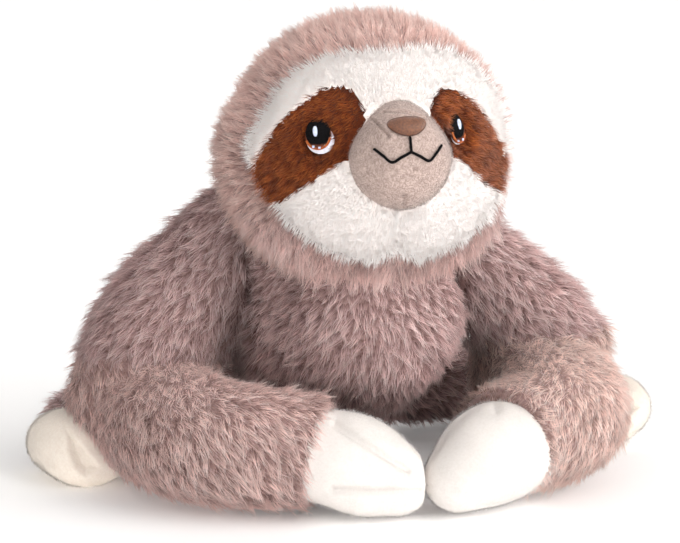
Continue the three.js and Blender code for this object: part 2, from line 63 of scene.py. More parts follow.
# Sizes of the toy, the same as the solids'
FLOOR_FLAT = 0.5
HEAD_RADIUS = 86.0
HEAD_CENTRE = np.array((0.0, -2.5, 190.0))
FACE_TILT = math.radians(8)
MUZZLE_RADIUS = 31.0
MUZZLE_REACH = 75.0
SHOULDER_ASIDE = 66.0
SHOULDER_BACK = 37.5
SHOULDER_HEIGHT = 130
SHOULDER_RADIUS = 38
ELBOW_SEAM = 76.0
ELBOW_ASIDE = 119
ELBOW_BACK = 24.5
ELBOW_HEIGHT = 43.5
ELBOW_RADIUS = 44
SLEEVE_RADIUS = 42
BEND_RADIUS = 40
CUFF_RADIUS = 38
WRIST_RADIUS = 31
PAW_RADIUS = 30
TIP_RADIUS = 22
ANKLE_BACK = 60.0
PAW_MEETING = 3.0
PAW_PARTING = 1.5
SEAM_GAP = 0.3

# Pile: how far below the outside of the fur its backing lies
LONG_PILE = 8.5
ARM_PILE = {"left": 8.5, "right": 4.5}
HEAD_PILE = 8.0
WHITE_PILE = 4.5
PATCH_PILE = 6.0
EYE_PILE = 11.0

ARM_LIE = {
    "left": {"forearm": (107.8, 36.3), "bend": (92.4, 75.9), "cuff": (61.6, 93.5),
             "paw": (40.7, 103.4), "tip": (23.1, 110.0)},
    "right": {"forearm": (115.5, 34.1), "bend": (93.5, 73.7), "cuff": (51.7, 90.2),
              "paw": (28.6, 101.2), "tip": (8.8, 107.8)},
}
FOOT_ASIDE = {"left": 168.0, "right": 164.0}


# Stations along each stuffed form: x, y, z, half width, half height

def low_on(radius):
    return radius - FLOOR_FLAT


def lie(hand, side, place, radius):
    aside, forward = ARM_LIE[hand][place]
    return (side * aside, -forward, low_on(radius), radius, radius)


def cuff_frame(hand, side):
    """The middle of a cuff, and the way from it to the paw."""
    cuff = np.array(lie(hand, side, "cuff", CUFF_RADIUS)[:3])
    paw = np.array(lie(hand, side, "paw", CUFF_RADIUS)[:3])
    return cuff, unit(paw - cuff)


def shoulder(aside):
    return (aside, SHOULDER_BACK, SHOULDER_HEIGHT, SHOULDER_RADIUS, SHOULDER_RADIUS)


def elbow(side, height=ELBOW_HEIGHT, radius=ELBOW_RADIUS):
    return (side * ELBOW_ASIDE, ELBOW_BACK, height, radius, radius)


TRUNK = [(0, 80, 54, 56, 56), (0, 36, 72, 64, 75.5), (0, -9.5, 82, 67, 67)]
YOKE = [shoulder(-104), shoulder(104)]
# Stuffing under the chin and beside the right arm, where the skins of the pile meet
THROAT = [(-20, -28, 106, 38, 38), (20, -28, 106, 38, 38)]
FLANK = [(-30, 4, 62, 42, 42), (-31, 6, 104, 42, 42)]
BELLY_LIFT = 19.0
BELLY_TUCK = 0.45


def upper_arm_stations(side):
    return [shoulder(side * 53.3), (side * 97, 34, 97, 43, 43), elbow(side, 65.5), elbow(side)]


def elbow_stations(side):
    return [elbow(side), elbow(side, ELBOW_SEAM)]


def on_floor(place, radius):
    return (place[0], place[1], low_on(radius), radius, radius)


def sleeve_stations(hand, side):
    cuff, along = cuff_frame(hand, side)
    return [elbow(side, radius=SLEEVE_RADIUS), lie(hand, side, "forearm", SLEEVE_RADIUS),
            lie(hand, side, "bend", BEND_RADIUS), lie(hand, side, "cuff", CUFF_RADIUS),
            on_floor(cuff + along * CUFF_RADIUS, CUFF_RADIUS)]


def paw_stations(hand, side):
    cuff, along = cuff_frame(hand, side)
    return [on_floor(cuff - along * WRIST_RADIUS, WRIST_RADIUS), on_floor(cuff, WRIST_RADIUS),
            lie(hand, side, "paw", PAW_RADIUS), lie(hand, side, "tip", TIP_RADIUS)]


def leg_stations(hand, side):
    return [(side * 58, 91, 32, 30, 30), (side * 112, 99, 26.5, 27, 27), (side * 146, 84, 23.5, 24, 24),
            (side * 160, 60, 20.5, 21, 21), (side * FOOT_ASIDE[hand], 38, 20.5, 21, 21)]


def foot_stations(hand, side):
    return [(side * 160, 67, 20.5, 26, 21), (side * FOOT_ASIDE[hand], 38, 20.5, 26, 21),
            (side * FOOT_ASIDE[hand], 22, 18.5, 25, 19)]


# Smooth lines and forms

def between(first, second, third, fourth, part):
    """A place on the smooth line from the second point to the third."""
    rise, fall = 0.5 * (third - first), 0.5 * (fourth - second)
    return ((2 * part ** 3 - 3 * part ** 2 + 1) * second + (part ** 3 - 2 * part ** 2 + part) * rise
            + (3 * part ** 2 - 2 * part ** 3) * third + (part ** 3 - part ** 2) * fall)


def along_curve(points, share):
    """A place on the smooth line through some points, at a share of its length."""
    points = np.asarray(points, float)
    count = len(points) - 1
    place = min(share * count, count - 1e-9)
    index = int(place)
    part = place - index
    second, third = points[index], points[index + 1]
    first = points[index - 1] if index > 0 else 2 * points[0] - points[1]
    fourth = points[index + 2] if index + 2 <= count else 2 * points[count] - points[count - 1]
    return between(first, second, third, fourth, part)


def unit(vector):
    return vector / max(np.linalg.norm(vector), 1e-12)


def units(vectors):
    return vectors / np.maximum(np.linalg.norm(vectors, axis=1, keepdims=True), 1e-12)


def heading(points, share, step=0.01):
    """The way in which a smooth line runs at a share of its length."""
    return unit(along_curve(points, min(share + step, 1)) - along_curve(points, max(share - step, 0)))


def stuffed_form(stations, wide_axis, inset=0.0, sides=28, steps=7, caps=6):
    """Round sections along a smooth line with domed ends, as points and faces."""
    line = [s[:3] for s in stations]
    sizes = [s[3:] for s in stations]

    def ring(share, lean):
        centre = along_curve(line, share)
        ahead = heading(line, share, step=0.0001)
        wide, high = along_curve(sizes, share) - inset
        across = unit(wide_axis - ahead * (wide_axis @ ahead))
        over = np.cross(ahead, across)
        centre = centre + ahead * min(wide, high) * math.sin(lean)
        turn = np.arange(sides) / sides * 2 * math.pi
        shrink = math.cos(lean)
        return centre, (centre + np.outer(np.cos(turn) * wide * shrink, across)
                        + np.outer(np.sin(turn) * high * shrink, over))

    quarter = math.pi / 2
    rings = [ring(0.0, -quarter * (1 - cap / caps))[1] for cap in range(1, caps)]
    count = steps * (len(stations) - 1)
    rings += [ring(step / count, 0.0)[1] for step in range(count + 1)]
    rings += [ring(1.0, quarter * (1 - cap / caps))[1] for cap in range(caps - 1, 0, -1)]
    points = [ring(0.0, -quarter)[0]] + [p for r in rings for p in r] + [ring(1.0, quarter)[0]]
    last = len(points) - 1
    faces = []

    def at(r, s):
        return 1 + r * sides + s % sides

    for s in range(sides):
        faces.append((0, at(0, s + 1), at(0, s)))
        for r in range(len(rings) - 1):
            faces.append((at(r, s), at(r, s + 1), at(r + 1, s + 1), at(r + 1, s)))
        faces.append((last, at(len(rings) - 1, s), at(len(rings) - 1, s + 1)))
    return np.array(points), faces


def linked(name, data):
    """A new object in the scene."""
    piece = bpy.data.objects.new(name, data)
    bpy.context.scene.collection.objects.link(piece)
    return piece


def new_piece(name, points, faces, smooth=True):
    mesh = bpy.data.meshes.new(name)
    mesh.from_pydata([tuple(p * MM) for p in np.asarray(points, float)], [], faces)
    mesh.update()
    mesh.polygons.foreach_set("use_smooth", [smooth] * len(mesh.polygons))
    return linked(name, mesh)


def made_plain(piece):
    """The modifiers are worked into the mesh and removed."""
    ready = piece.evaluated_get(bpy.context.evaluated_depsgraph_get())
    mesh = bpy.data.meshes.new_from_object(ready)
    piece.modifiers.clear()
    spare = piece.data
    piece.data = mesh
    bpy.data.meshes.remove(spare)
    mesh.name = piece.name


def dropped(piece):
    mesh = piece.data
    bpy.data.objects.remove(piece)
    bpy.data.meshes.remove(mesh)


def rounded_skin(name, forms, voxel=4.0, smoothing=6):
    """One closed skin round several overlapping forms."""
    points, faces = [], []
    for form_points, form_faces in forms:
        start = len(points)
        points += list(form_points)
        faces += [tuple(start + i for i in face) for face in form_faces]
    piece = new_piece(name, points, faces)
    remesh = piece.modifiers.new("One skin", "REMESH")
    remesh.mode = "VOXEL"
    remesh.voxel_size = voxel * MM
    remesh.use_smooth_shade = True
    soften = piece.modifiers.new("Soften", "SMOOTH")
    soften.factor = 0.5
    soften.iterations = smoothing
    made_plain(piece)
    return piece


def cut_flat(piece, point, outward, bare=True):
    """What lies past a plane is removed, and the cut is closed. A cut that grows no pile is marked."""
    mesh = bmesh.new()
    mesh.from_mesh(piece.data)
    marks = mesh.faces.layers.int.get("cut") or mesh.faces.layers.int.new("cut")
    everything = mesh.verts[:] + mesh.edges[:] + mesh.faces[:]
    bmesh.ops.bisect_plane(mesh, geom=everything, plane_co=Vector(np.asarray(point, float) * MM),
                           plane_no=Vector(outward), clear_outer=True, dist=1e-7)
    edges = [e for e in mesh.edges if e.is_boundary]
    before = set(mesh.faces)
    bmesh.ops.holes_fill(mesh, edges=edges, sides=0)
    for face in mesh.faces:
        if face not in before:
            face[marks] = int(bare)
    bmesh.ops.recalc_face_normals(mesh, faces=mesh.faces[:])
    mesh.to_mesh(piece.data)
    mesh.free()
    piece.data.update()


def puffed(piece, held, cap, pressure=20000.0, stretch=2.0, mass=0.01, least_hold=0.02, steps=20):
    """The cover swells round its stuffing as sewn cloth does, and stays where its seams hold it."""
    before = places(piece)
    seams = piece.vertex_groups.new(name="seams")
    for index, weight in enumerate(held):
        if weight > least_hold:
            seams.add([index], float(weight), "REPLACE")
    cloth = piece.modifiers.new("Stuffed", "CLOTH")
    cloth.settings.mass = mass
    cloth.settings.tension_stiffness = cloth.settings.compression_stiffness = stretch
    cloth.settings.use_pressure = True
    cloth.settings.uniform_pressure_force = pressure
    cloth.settings.vertex_group_mass = "seams"
    cloth.settings.effector_weights.gravity = 0
    cloth.point_cache.frame_end = steps
    for step in range(1, steps + 1):
        bpy.context.scene.frame_set(step)
    made_plain(piece)
    move = places(piece) - before
    length = np.linalg.norm(move, axis=1, keepdims=True)
    move_to(piece, before + move * np.minimum(1, cap / np.maximum(length, 1e-9)))
    bpy.context.scene.frame_set(1)


def refined(piece, levels):
    subdivision = piece.modifiers.new("Finer", "SUBSURF")
    subdivision.levels = subdivision.render_levels = levels
    made_plain(piece)


def ball(name, centre, radius, detail=6):
    mesh = bmesh.new()
    bmesh.ops.create_icosphere(mesh, subdivisions=detail, radius=radius * MM)
    bmesh.ops.translate(mesh, verts=mesh.verts[:], vec=Vector(np.asarray(centre, float) * MM))
    data = bpy.data.meshes.new(name)
    mesh.to_mesh(data)
    mesh.free()
    data.polygons.foreach_set("use_smooth", [True] * len(data.polygons))
    return linked(name, data)


def vectors_of(elements, field):
    flat = np.zeros(len(elements) * 3, np.float32)
    elements.foreach_get(field, flat)
    return flat.reshape(-1, 3).astype(float)


def places(piece):
    """Vertex places in millimetres."""
    return vectors_of(piece.data.vertices, "co") / MM


def face_places(piece):
    return vectors_of(piece.data.polygons, "center") / MM


def normals(piece):
    return vectors_of(piece.data.vertex_normals, "vector")


def move_to(piece, points):
    piece.data.vertices.foreach_set("co", (points * MM).astype(np.float32).ravel())
    piece.data.update()


def keep_value(piece, name, values, domain="POINT"):
    values = np.asarray(values, np.float32)
    kind, field = ("FLOAT_VECTOR", "vector") if values.ndim == 2 else ("FLOAT", "value")
    spare = piece.data.attributes.get(name)
    if spare:
        piece.data.attributes.remove(spare)
    piece.data.attributes.new(name, kind, domain).data.foreach_set(field, values.ravel())


# Room that other forms take up

class Room:
    """The inside of a stuffed form as a row of balls, to tell how deep a place lies in it."""

    def __init__(self, *forms, balls=60):
        self.centres, self.radii, self.ahead = [], [], []
        for stations in forms:
            line = [s[:3] for s in stations]
            sizes = [s[3:] for s in stations]
            for step in range(balls + 1):
                self.centres.append(along_curve(line, step / balls))
                self.radii.append(along_curve(sizes, step / balls).mean())
                self.ahead.append(heading(line, step / balls))
        self.centres, self.radii, self.ahead = map(np.array, (self.centres, self.radii, self.ahead))

    def depth(self, points):
        best = np.full(len(points), -1e9)
        for centre, radius in zip(self.centres, self.radii):
            best = np.maximum(best, radius - np.linalg.norm(points - centre, axis=1))
        return best

    def way(self, points):
        gaps = np.stack([np.linalg.norm(points - centre, axis=1) for centre in self.centres], axis=1)
        return self.ahead[np.argmin(gaps, axis=1)]


# The yoke and the arms count as room only on their own side of the shoulder seam
ROOMS = {"trunk": Room(TRUNK, [shoulder(-30), shoulder(30)])}
for hand, side in HANDS:
    ROOMS[f"upper_arm_{hand}"] = Room(upper_arm_stations(side)[1:])
    ROOMS[f"forearm_{hand}"] = Room(elbow_stations(side), sleeve_stations(hand, side))
    ROOMS[f"leg_{hand}"] = Room(leg_stations(hand, side))


def head_depth(points):
    return HEAD_RADIUS - np.linalg.norm(points - HEAD_CENTRE, axis=1)


def depth_in(form, points):
    return head_depth(points) if form == "head" else ROOMS[form].depth(points)


def pile_outside(spared, low=8, high=12):
    """Where pile grows: on what isn't deep inside the other forms, each of which spares some millimetres."""
    def cover(spots):
        buried = np.max([depth_in(form, spots) - more for form, more in spared.items()], axis=0)
        return 1 - steady(buried, low, high)
    return cover


# Places on a ball, in millimetres along its surface from its front

FRONT = np.array((0.0, -math.cos(FACE_TILT), math.sin(FACE_TILT)))
RISE = np.array((0.0, math.sin(FACE_TILT), math.cos(FACE_TILT)))
MUZZLE_CENTRE = HEAD_CENTRE + FRONT * MUZZLE_REACH


def on_ball(centre, radius, aside, up, distance):
    angle = math.hypot(aside, up) / radius
    lean = unit(ASIDE * aside + RISE * up)
    return centre + (FRONT * math.cos(angle) + lean * math.sin(angle)) * distance


def chart_of(points, centre, radius):
    """Where each place lies on a ball, in millimetres aside and up from its front."""
    out = units(points - centre)
    ahead, aside, up = out @ FRONT, out @ ASIDE, out @ RISE
    angle = np.arctan2(np.hypot(aside, up), ahead)
    grow = angle * radius / np.maximum(np.hypot(aside, up), 1e-9)
    return np.stack([aside * grow, up * grow], axis=1)


def face_chart(points):
    return chart_of(points, HEAD_CENTRE, HEAD_RADIUS)


def line_gap(points, line):
    """How far each place is from a line of straight stretches."""
    line = np.asarray(line, float)
    best = np.full(len(points), 1e9)
    for start, end in zip(line, line[1:]):
        way = end - start
        share = np.clip(((points - start) @ way) / (way @ way), 0, 1)
        best = np.minimum(best, np.linalg.norm(points - start - share[:, None] * way, axis=1))
    return best


# The way from which the seams of the paws and the folds of the feet are laid out
LOOK = unit(np.array((-0.287, -0.939, 0.19)))


def laid_out(points):
    points = np.asarray(points, float)
    return points - np.outer(points @ LOOK, LOOK)


def seam_gaps(piece, seams):
    """How far each place is from the nearest seam as seen from the front, and how much it faces that way."""
    points = laid_out(places(piece))
    gap = np.min([line_gap(points, laid_out(seam)) for seam in seams], axis=0)
    return gap, steady(normals(piece) @ LOOK, 0.05, 0.3)


def groove(gap, depth, width):
    return depth * np.exp(-(gap / width) ** 2)


def edge_distance(points, outline):
    """How far each place is from an outline, above zero inside it."""
    outline = np.asarray(outline, float)
    best = line_gap(points, np.vstack([outline, outline[:1]]))
    inside = np.zeros(len(points), bool)
    for start, end in zip(outline, np.roll(outline, -1, axis=0)):
        way = end - start
        crossing = (start[1] > points[:, 1]) != (end[1] > points[:, 1])
        reach = start[0] + (points[:, 1] - start[1]) * way[0] / (way[1] if way[1] else 1e-9)
        inside ^= crossing & (points[:, 0] < reach)
    return np.where(inside, best, -best)


def smooth_outline(shares, per_side=6):
    """A closed smooth line round the head through places given as shares of its radius."""
    points = np.asarray(shares, float) * HEAD_RADIUS
    count = len(points)
    out = []
    for index in range(count):
        four = [points[(index + k) % count] for k in (-1, 0, 1, 2)]
        out += [between(*four, step / per_side) for step in range(per_side)]
    return np.array(out)


# Half of the white face and the left brown patch, as shares of the head's radius
FACE_SHARES = [(0.0, 0.76), (0.3, 0.79), (0.58, 0.76), (0.8, 0.65), (0.98, 0.45), (1.1, 0.22),
               (1.12, -0.02), (1.02, -0.25), (0.88, -0.43), (0.72, -0.6), (0.5, -0.73), (0.25, -0.8),
               (0.07, -0.78), (0.0, -0.74)]
PATCH_SHARES = [(0.36, 0.46), (0.5, 0.46), (0.66, 0.38), (0.82, 0.27), (0.95, 0.13), (1.07, -0.02),
                (1.08, -0.16), (0.99, -0.29), (0.9, -0.34), (0.78, -0.28), (0.66, -0.19), (0.52, -0.1),
                (0.38, -0.02), (0.28, 0.06), (0.25, 0.16), (0.24, 0.26), (0.27, 0.37)]
FACE_OUTLINE = smooth_outline(FACE_SHARES + [(-x, y) for x, y in FACE_SHARES[-2:0:-1]])
# The patch on the toy's right reaches a little higher
PATCH_LIFT = {1: 0.0, -1: 0.05}
PATCH_OUTLINES = {
    side: smooth_outline([(x * side, y + PATCH_LIFT[side] * (y > 0.1)) for x, y in PATCH_SHARES])
    for _, side in HANDS
}

# The seam from the muzzle down to the chin, and how the cheeks swell beside it
CHIN_SEAM_DEPTH = 3.0
CHIN_SEAM_WIDTH = 2.4
CHEEK_SWELL = 3.0

EYE_SEAT = 79.0
EYE_ASIDE = 46.5
EYE_RISE = 13.0
EYE_SHIFT = -4.5
EYE_WIDTH = 18.0
EYE_HEIGHT = 21.0
# The pile leaves each eye this opening: its shift towards the toy's left, and its width
EYE_OPENINGS = {"left": (-1.0, 12.0), "right": (1.4, 18.0)}
# The embroidered layers of each eye, outward and up from its middle, and their width and height
EYE_LAYERS = {
    "right": {"white": (-2.2, -1.5, 17.4, 17.4), "iris": (-1.2, 1.2, 16.4, 17.8),
              "pupil": (-1.2, 3.2, 15.4, 18.6)},
    "left": {"white": (-0.6, -1.0, 10.4, 14.6), "iris": (-0.4, 0.6, 12.2, 16.8),
             "pupil": (-0.9, 2.2, 11.0, 17.0)},
}
# Each glint in the same measures, then how high it stands and how much it swells
GLINTS = [((0.0, 4.0, 2.8, 6.4), 2.3, 0.8), ((1.8, -5.6, 1.2, 1.6), 2.1, 0.7),
          ((-2.0, -6.4, 1.2, 1.2), 2.1, 0.7)]


# Materials

def srgb(code):
    parts = [((code >> shift) & 255) / 255 for shift in (16, 8, 0)]
    return tuple(p / 12.92 if p <= 0.04045 else ((p + 0.055) / 1.055) ** 2.4 for p in parts) + (1.0,)


def add_node(tree, kind, inputs=(), **settings):
    """A new node with its settings, and its inputs linked or set."""
    node = tree.nodes.new(kind)
    for key, value in settings.items():
        setattr(node, key, value)
    for key, value in dict(inputs).items():
        if isinstance(value, bpy.types.NodeSocket):
            tree.links.new(value, node.inputs[key])
        else:
            node.inputs[key].default_value = value
    return node


def seen_by(tree, *rays):
    """Is 1 for the kinds of ray named, and 0 for the rest."""
    path = add_node(tree, "ShaderNodeLightPath").outputs
    seen = path[rays[0]]
    for ray in rays[1:]:
        seen = add_node(tree, "ShaderNodeMath", {0: seen, 1: path[ray]}, operation="MAXIMUM").outputs[0]
    return seen


class Nodes:
    """A short way to write a material's nodes."""

    def __init__(self, name):
        self.material = bpy.data.materials.new(name)
        self.material.use_nodes = True
        self.tree = self.material.node_tree
        self.tree.nodes.clear()

    def add(self, kind, inputs=(), **settings):
        return add_node(self.tree, "ShaderNode" + kind, inputs, **settings)

    def attribute(self, name):
        return self.add("Attribute", attribute_name=name)

    def ramp(self, factor, stops):
        node = self.add("ValToRGB", {"Fac": factor})
        elements = node.color_ramp.elements
        while len(elements) > 1:
            elements.remove(elements[-1])
        elements[0].position, elements[0].color = stops[0]
        for position, colour in stops[1:]:
            elements.new(position).color = colour
        return node.outputs["Color"]

    def noise(self, scale, detail=3.0, roughness=0.5, distortion=0.0):
        spot = self.add("TexCoord").outputs["Object"]
        node = self.add("TexNoise", {"Vector": spot, "Scale": scale, "Detail": detail, "Roughness": roughness,
                                     "Distortion": distortion})
        return node.outputs["Fac"]

    def fitted(self, value, low, high, to_low, to_high):
        """The value's range from low to high spread over another range."""
        return self.add("MapRange", {"Value": value, "From Min": low, "From Max": high, "To Min": to_low,
                                     "To Max": to_high}).outputs["Result"]

    def dimmed(self, colour, level):
        grey = self.add("CombineColor", {"Red": level, "Green": level, "Blue": level}).outputs["Color"]
        mix = self.add("Mix", {0: 1.0, 6: colour, 7: grey}, data_type="RGBA", blend_type="MULTIPLY")
        return mix.outputs[2]

    def surface(self, colour, normal, roughness, gloss, sheen, sheen_roughness):
        return self.add("BsdfPrincipled", {
            "Base Color": colour, "Normal": normal, "Roughness": roughness, "Specular IOR Level": gloss,
            "Sheen Weight": sheen, "Sheen Roughness": sheen_roughness}).outputs["BSDF"]

    def finish(self, shader):
        self.add("OutputMaterial", {"Surface": shader})
        return self.material


# Painted shade: how much of its brightness the pile keeps deep between two stuffed forms
PAINTED_CREVICE_SHADE = 0.45
# How many broad patches fur has per metre, and the part of a noise that is spread over two colours
FUR_PATCHES = 38.0
NOISE_USED = (0.3, 0.7)


def fur_material(name, deep, middle, tip, sheen=0.3, variation=0.10, soft_normal=0.85, through=0.0):
    """Pile that is dark at the root and light at the tip, the dark root being painted shade between the
    strands. Part of the light comes through its fibres.
    """
    n = Nodes(name)
    along = n.attribute("along").outputs["Fac"]
    # Painted shade: the colour darkens from tip to root, where the strands would shade each other
    colour = n.ramp(along, [(0.0, srgb(deep)), (0.5, srgb(middle)), (1.0, srgb(tip))])
    # Each tuft's tone differs at random, and is darker at the partings between clumps, which is painted shade
    bright = n.fitted(n.attribute("shade").outputs["Fac"], 0, 1, 1 - variation, 1 + variation)
    patches = n.fitted(n.noise(FUR_PATCHES, 2.0), *NOISE_USED, 0.94, 1.06)
    level = n.add("Math", {0: bright, 1: patches}, operation="MULTIPLY").outputs["Value"]
    # Painted shade: the pile is darkened where it lies in a fold between forms
    painted_shade_factor = n.fitted(n.attribute("crevice").outputs["Fac"], 0, 1, 1.0, PAINTED_CREVICE_SHADE)
    level = n.add("Math", {0: level, 1: painted_shade_factor}, operation="MULTIPLY").outputs["Value"]
    colour = n.dimmed(colour, level)
    skin = n.add("VectorTransform", {"Vector": n.attribute("skin_normal").outputs["Vector"]},
                 vector_type="NORMAL", convert_from="OBJECT", convert_to="WORLD").outputs["Vector"]
    skin = n.add("VectorMath", {0: skin, "Scale": soft_normal}, operation="SCALE").outputs["Vector"]
    own = n.add("VectorMath", {0: n.add("NewGeometry").outputs["Normal"], "Scale": 1 - soft_normal},
                operation="SCALE").outputs["Vector"]
    total = n.add("VectorMath", {0: skin, 1: own}, operation="ADD").outputs["Vector"]
    normal = n.add("VectorMath", {0: total}, operation="NORMALIZE").outputs["Vector"]
    outside = n.surface(colour, normal, roughness=0.85, gloss=0.1, sheen=sheen, sheen_roughness=0.5)
    if not through:
        return n.finish(outside)
    inward = n.add("VectorMath", {0: normal, "Scale": -1.0}, operation="SCALE").outputs["Vector"]
    inside = n.add("BsdfTranslucent", {"Color": colour, "Normal": inward}).outputs["BSDF"]
    return n.finish(n.add("MixShader", {0: through, 1: outside, 2: inside}).outputs["Shader"])


def cloth_material(name, dark, light, scale, bump, sheen=0.3, distortion=0.0):
    """Short-napped cloth, mottled by how its nap lies."""
    n = Nodes(name)
    fine = n.noise(scale, 4.0, 0.6, distortion)
    colour = n.ramp(fine, list(zip(NOISE_USED, (srgb(dark), srgb(light)))))
    colour = n.dimmed(colour, n.fitted(n.noise(scale * 0.09, 2.0), *NOISE_USED, 0.95, 1.05))
    normal = n.add("Bump", {"Height": fine, "Strength": 0.6, "Distance": bump * MM}).outputs["Normal"]
    return n.finish(n.surface(colour, normal, roughness=0.9, gloss=0.2, sheen=sheen, sheen_roughness=0.4))


def thread_material(name, dark, light, roughness=0.45, sheen=0.2, gloss=0.4):
    """Shiny embroidery thread with a little colour change from stitch to stitch."""
    n = Nodes(name)
    colour = n.ramp(n.noise(900.0, 2.0), list(zip(NOISE_USED, (srgb(dark), srgb(light)))))
    fibres = n.noise(2600.0, 1.0)
    normal = n.add("Bump", {"Height": fibres, "Strength": 0.4, "Distance": 0.1 * MM}).outputs["Normal"]
    return n.finish(n.surface(colour, normal, roughness, gloss, sheen, sheen_roughness=0.3))


# The first colour of each pile is the painted shade at its root
LONG_FUR = fur_material("long_fur", 0x765450, 0xE2C0BD, 0xFFF4F1, 0.1, 0.16, through=0.5)
# Painted light: lighter copies of the long fur on the forearms, the toy's left one, on the key lamp's side,
# the lightest
SLEEVE_FUR_PAINTED_LIGHT = {
    "left": fur_material("left_sleeve_fur", 0x906E66, 0xFFE0D6, 0xFFFFFA, 0.1, 0.16, through=0.5),
    "right": fur_material("right_sleeve_fur", 0x84625C, 0xF2D0C9, 0xFFF7F3, 0.1, 0.16, through=0.5),
}
# Painted light: the head's pile is a lighter copy of the long fur, as the head catches more light
HEAD_FUR_PAINTED_LIGHT = fur_material("head_fur", 0xC69C94, 0xF8D9D0, 0xFFF1EA, 0.1, 0.12, through=0.5)
RUFF_FUR = fur_material("ruff_fur", 0x80605C, 0xE8C8C2, 0xFFF6F2, 0.1, 0.16, soft_normal=0.4, through=0.5)
WHITE_FUR = fur_material("white_fur", 0xFCF0EB, 0xFFFAF7, 0xFFFFFF, variation=0.02, soft_normal=0.92)
BROWN_FUR = fur_material("brown_fur", 0x220C04, 0x803A12, 0xDA8038, variation=0.4, soft_normal=0.55)
PAW_FUZZ = fur_material("paw_fuzz", 0xDED8D4, 0xE5E1DE, 0xE8E5E3, variation=0.02, soft_normal=0.8)
FOOT_FUZZ = fur_material("foot_fuzz", 0xEADFD2, 0xF0E8DE, 0xF2ECE4, variation=0.02, soft_normal=0.8)
VELVET_FUZZ = fur_material("velvet_fuzz", 0x84726B, 0xC8B3AB, 0xEEDCD4, variation=0.2, soft_normal=0.7)
# Painted shade: the long fur's backing is darker than the fur, as the fur would shade it
LONG_FUR_SHADE_BACKING = cloth_material("long_fur_backing", 0x7C625F, 0x967C78, 400.0, 0.8)
WHITE_BACKING = cloth_material("white_fur_backing", 0xF6ECE7, 0xFEF8F4, 400.0, 0.8)
BROWN_BACKING = cloth_material("brown_fur_backing", 0x451A0A, 0x6A3010, 400.0, 0.8)
VELVET = cloth_material("velvet", 0x98847C, 0xD2BDB4, 420.0, 0.8, 0.3, distortion=1.5)
PAW_PLUSH = cloth_material("paw_plush", 0xDED8D3, 0xE5E0DC, 600.0, 0.5, 0.1)
FOOT_PLUSH = cloth_material("foot_plush", 0xE8DCCF, 0xF0E7DC, 600.0, 0.5, 0.1)
NECK_CLOTH = cloth_material("neck_cloth", 0x7E6058, 0x96766C, 900.0, 0.4)
NOSE_THREAD = thread_material("nose_thread", 0x542C1A, 0x82502F, roughness=0.3, gloss=0.6)
NOSE_RIM_THREAD = thread_material("nose_rim_thread", 0x341A0E, 0x5A3420)
BLACK_THREAD = thread_material("black_thread", 0x060506, 0x100E10, sheen=0.0, gloss=0.06)
IRIS_THREAD = thread_material("iris_thread", 0x4C200E, 0x7C3A18)
EMBER_THREAD = thread_material("ember_thread", 0x8E3C12, 0xC26A2A)
WHITE_THREAD = thread_material("white_thread", 0xDCDCE8, 0xF0F0F8)
GLINT_THREAD = thread_material("glint_thread", 0xC4D0F4, 0xE8EEFF)


# Tufts of length 1 along +Z that bend towards +X: long curved locks, with short straight ones between

def strand(points, faces, along, root, tip, tall, curl, thick, spin, heights):
    """One pointed strand, closed at its root, whose section is a flat triangle."""
    def middle(h):
        flat = root + (tip - root) * h
        return np.array((flat[0] + curl * h * h, flat[1], tall * (h - 0.12 * curl * h * h)))

    def at(row, corner):
        return start + row * 3 + corner % 3

    start = len(points)
    for h in heights:
        size = thick * (1 - h) ** 0.55
        for x, y in ((0.5, 0.0), (-0.35, 1.0), (-0.35, -1.0)):
            turned = np.array((x * math.cos(spin) - y * math.sin(spin),
                               x * math.sin(spin) + y * math.cos(spin), 0))
            points.append(middle(h) + turned * size)
            along.append(h * tall)
    points.append(middle(1.0))
    along.append(tall)
    faces.append((at(0, 2), at(0, 1), at(0, 0)))
    for corner in range(3):
        for row in range(len(heights) - 1):
            faces.append((at(row, corner), at(row, corner + 1), at(row + 1, corner + 1), at(row + 1, corner)))
        faces.append((at(len(heights) - 1, corner), at(len(heights) - 1, corner + 1), len(points) - 1))


def tuft(name, locks, fill, spread, gather, bend, width, seed, low=(0.5, 0.85)):
    chance = np.random.default_rng(seed)
    points, faces, along = [], [], []
    for lock in range(locks + fill):
        curved = lock < locks
        count = locks if curved else fill
        turn = 2 * math.pi * (lock + chance.uniform(-0.3, 0.3)) / count
        root = np.array((math.cos(turn), math.sin(turn))) * spread * chance.uniform(0.4, 1.0)
        if curved:
            tip = root * (1 - gather) + chance.uniform(-1, 1, 2) * spread * 0.35
            tall, curl, heights = chance.uniform(0.8, 1.0), bend * chance.uniform(0.6, 1.4), (0.0, 0.5)
        else:
            tip = root * 1.3 + np.array((bend * 0.5, 0.0)) + chance.uniform(-1, 1, 2) * spread * 0.8
            tall, curl, heights = chance.uniform(*low), 0.0, (0.0,)
        strand(points, faces, along, root, tip, tall, curl, width * chance.uniform(0.8, 1.2),
               chance.uniform(-0.5, 0.5), heights)
    piece = new_piece(name, np.array(points) / MM, faces)
    keep_value(piece, "along", along)
    bpy.context.scene.collection.objects.unlink(piece)
    return piece


def tuft_set(name, count, **shape):
    group = bpy.data.collections.new(name)
    for index in range(count):
        group.objects.link(tuft(f"{name}_{index}", seed=11 * index + 3, **shape))
    return group


LONG_TUFTS = tuft_set("long_tufts", 8, locks=5, fill=7, spread=0.16, gather=0.75, bend=0.42, width=0.018,
                      low=(0.35, 0.75))
SHORT_TUFTS = tuft_set("short_tufts", 6, locks=3, fill=6, spread=0.24, gather=0.3, bend=0.25, width=0.028)
FUZZ_TUFTS = tuft_set("fuzz_tufts", 4, locks=0, fill=3, spread=0.5, gather=0.0, bend=0.25, width=0.09)


# Trees that make geometry: one plants tufts all over a skin, the other turns lines into threads

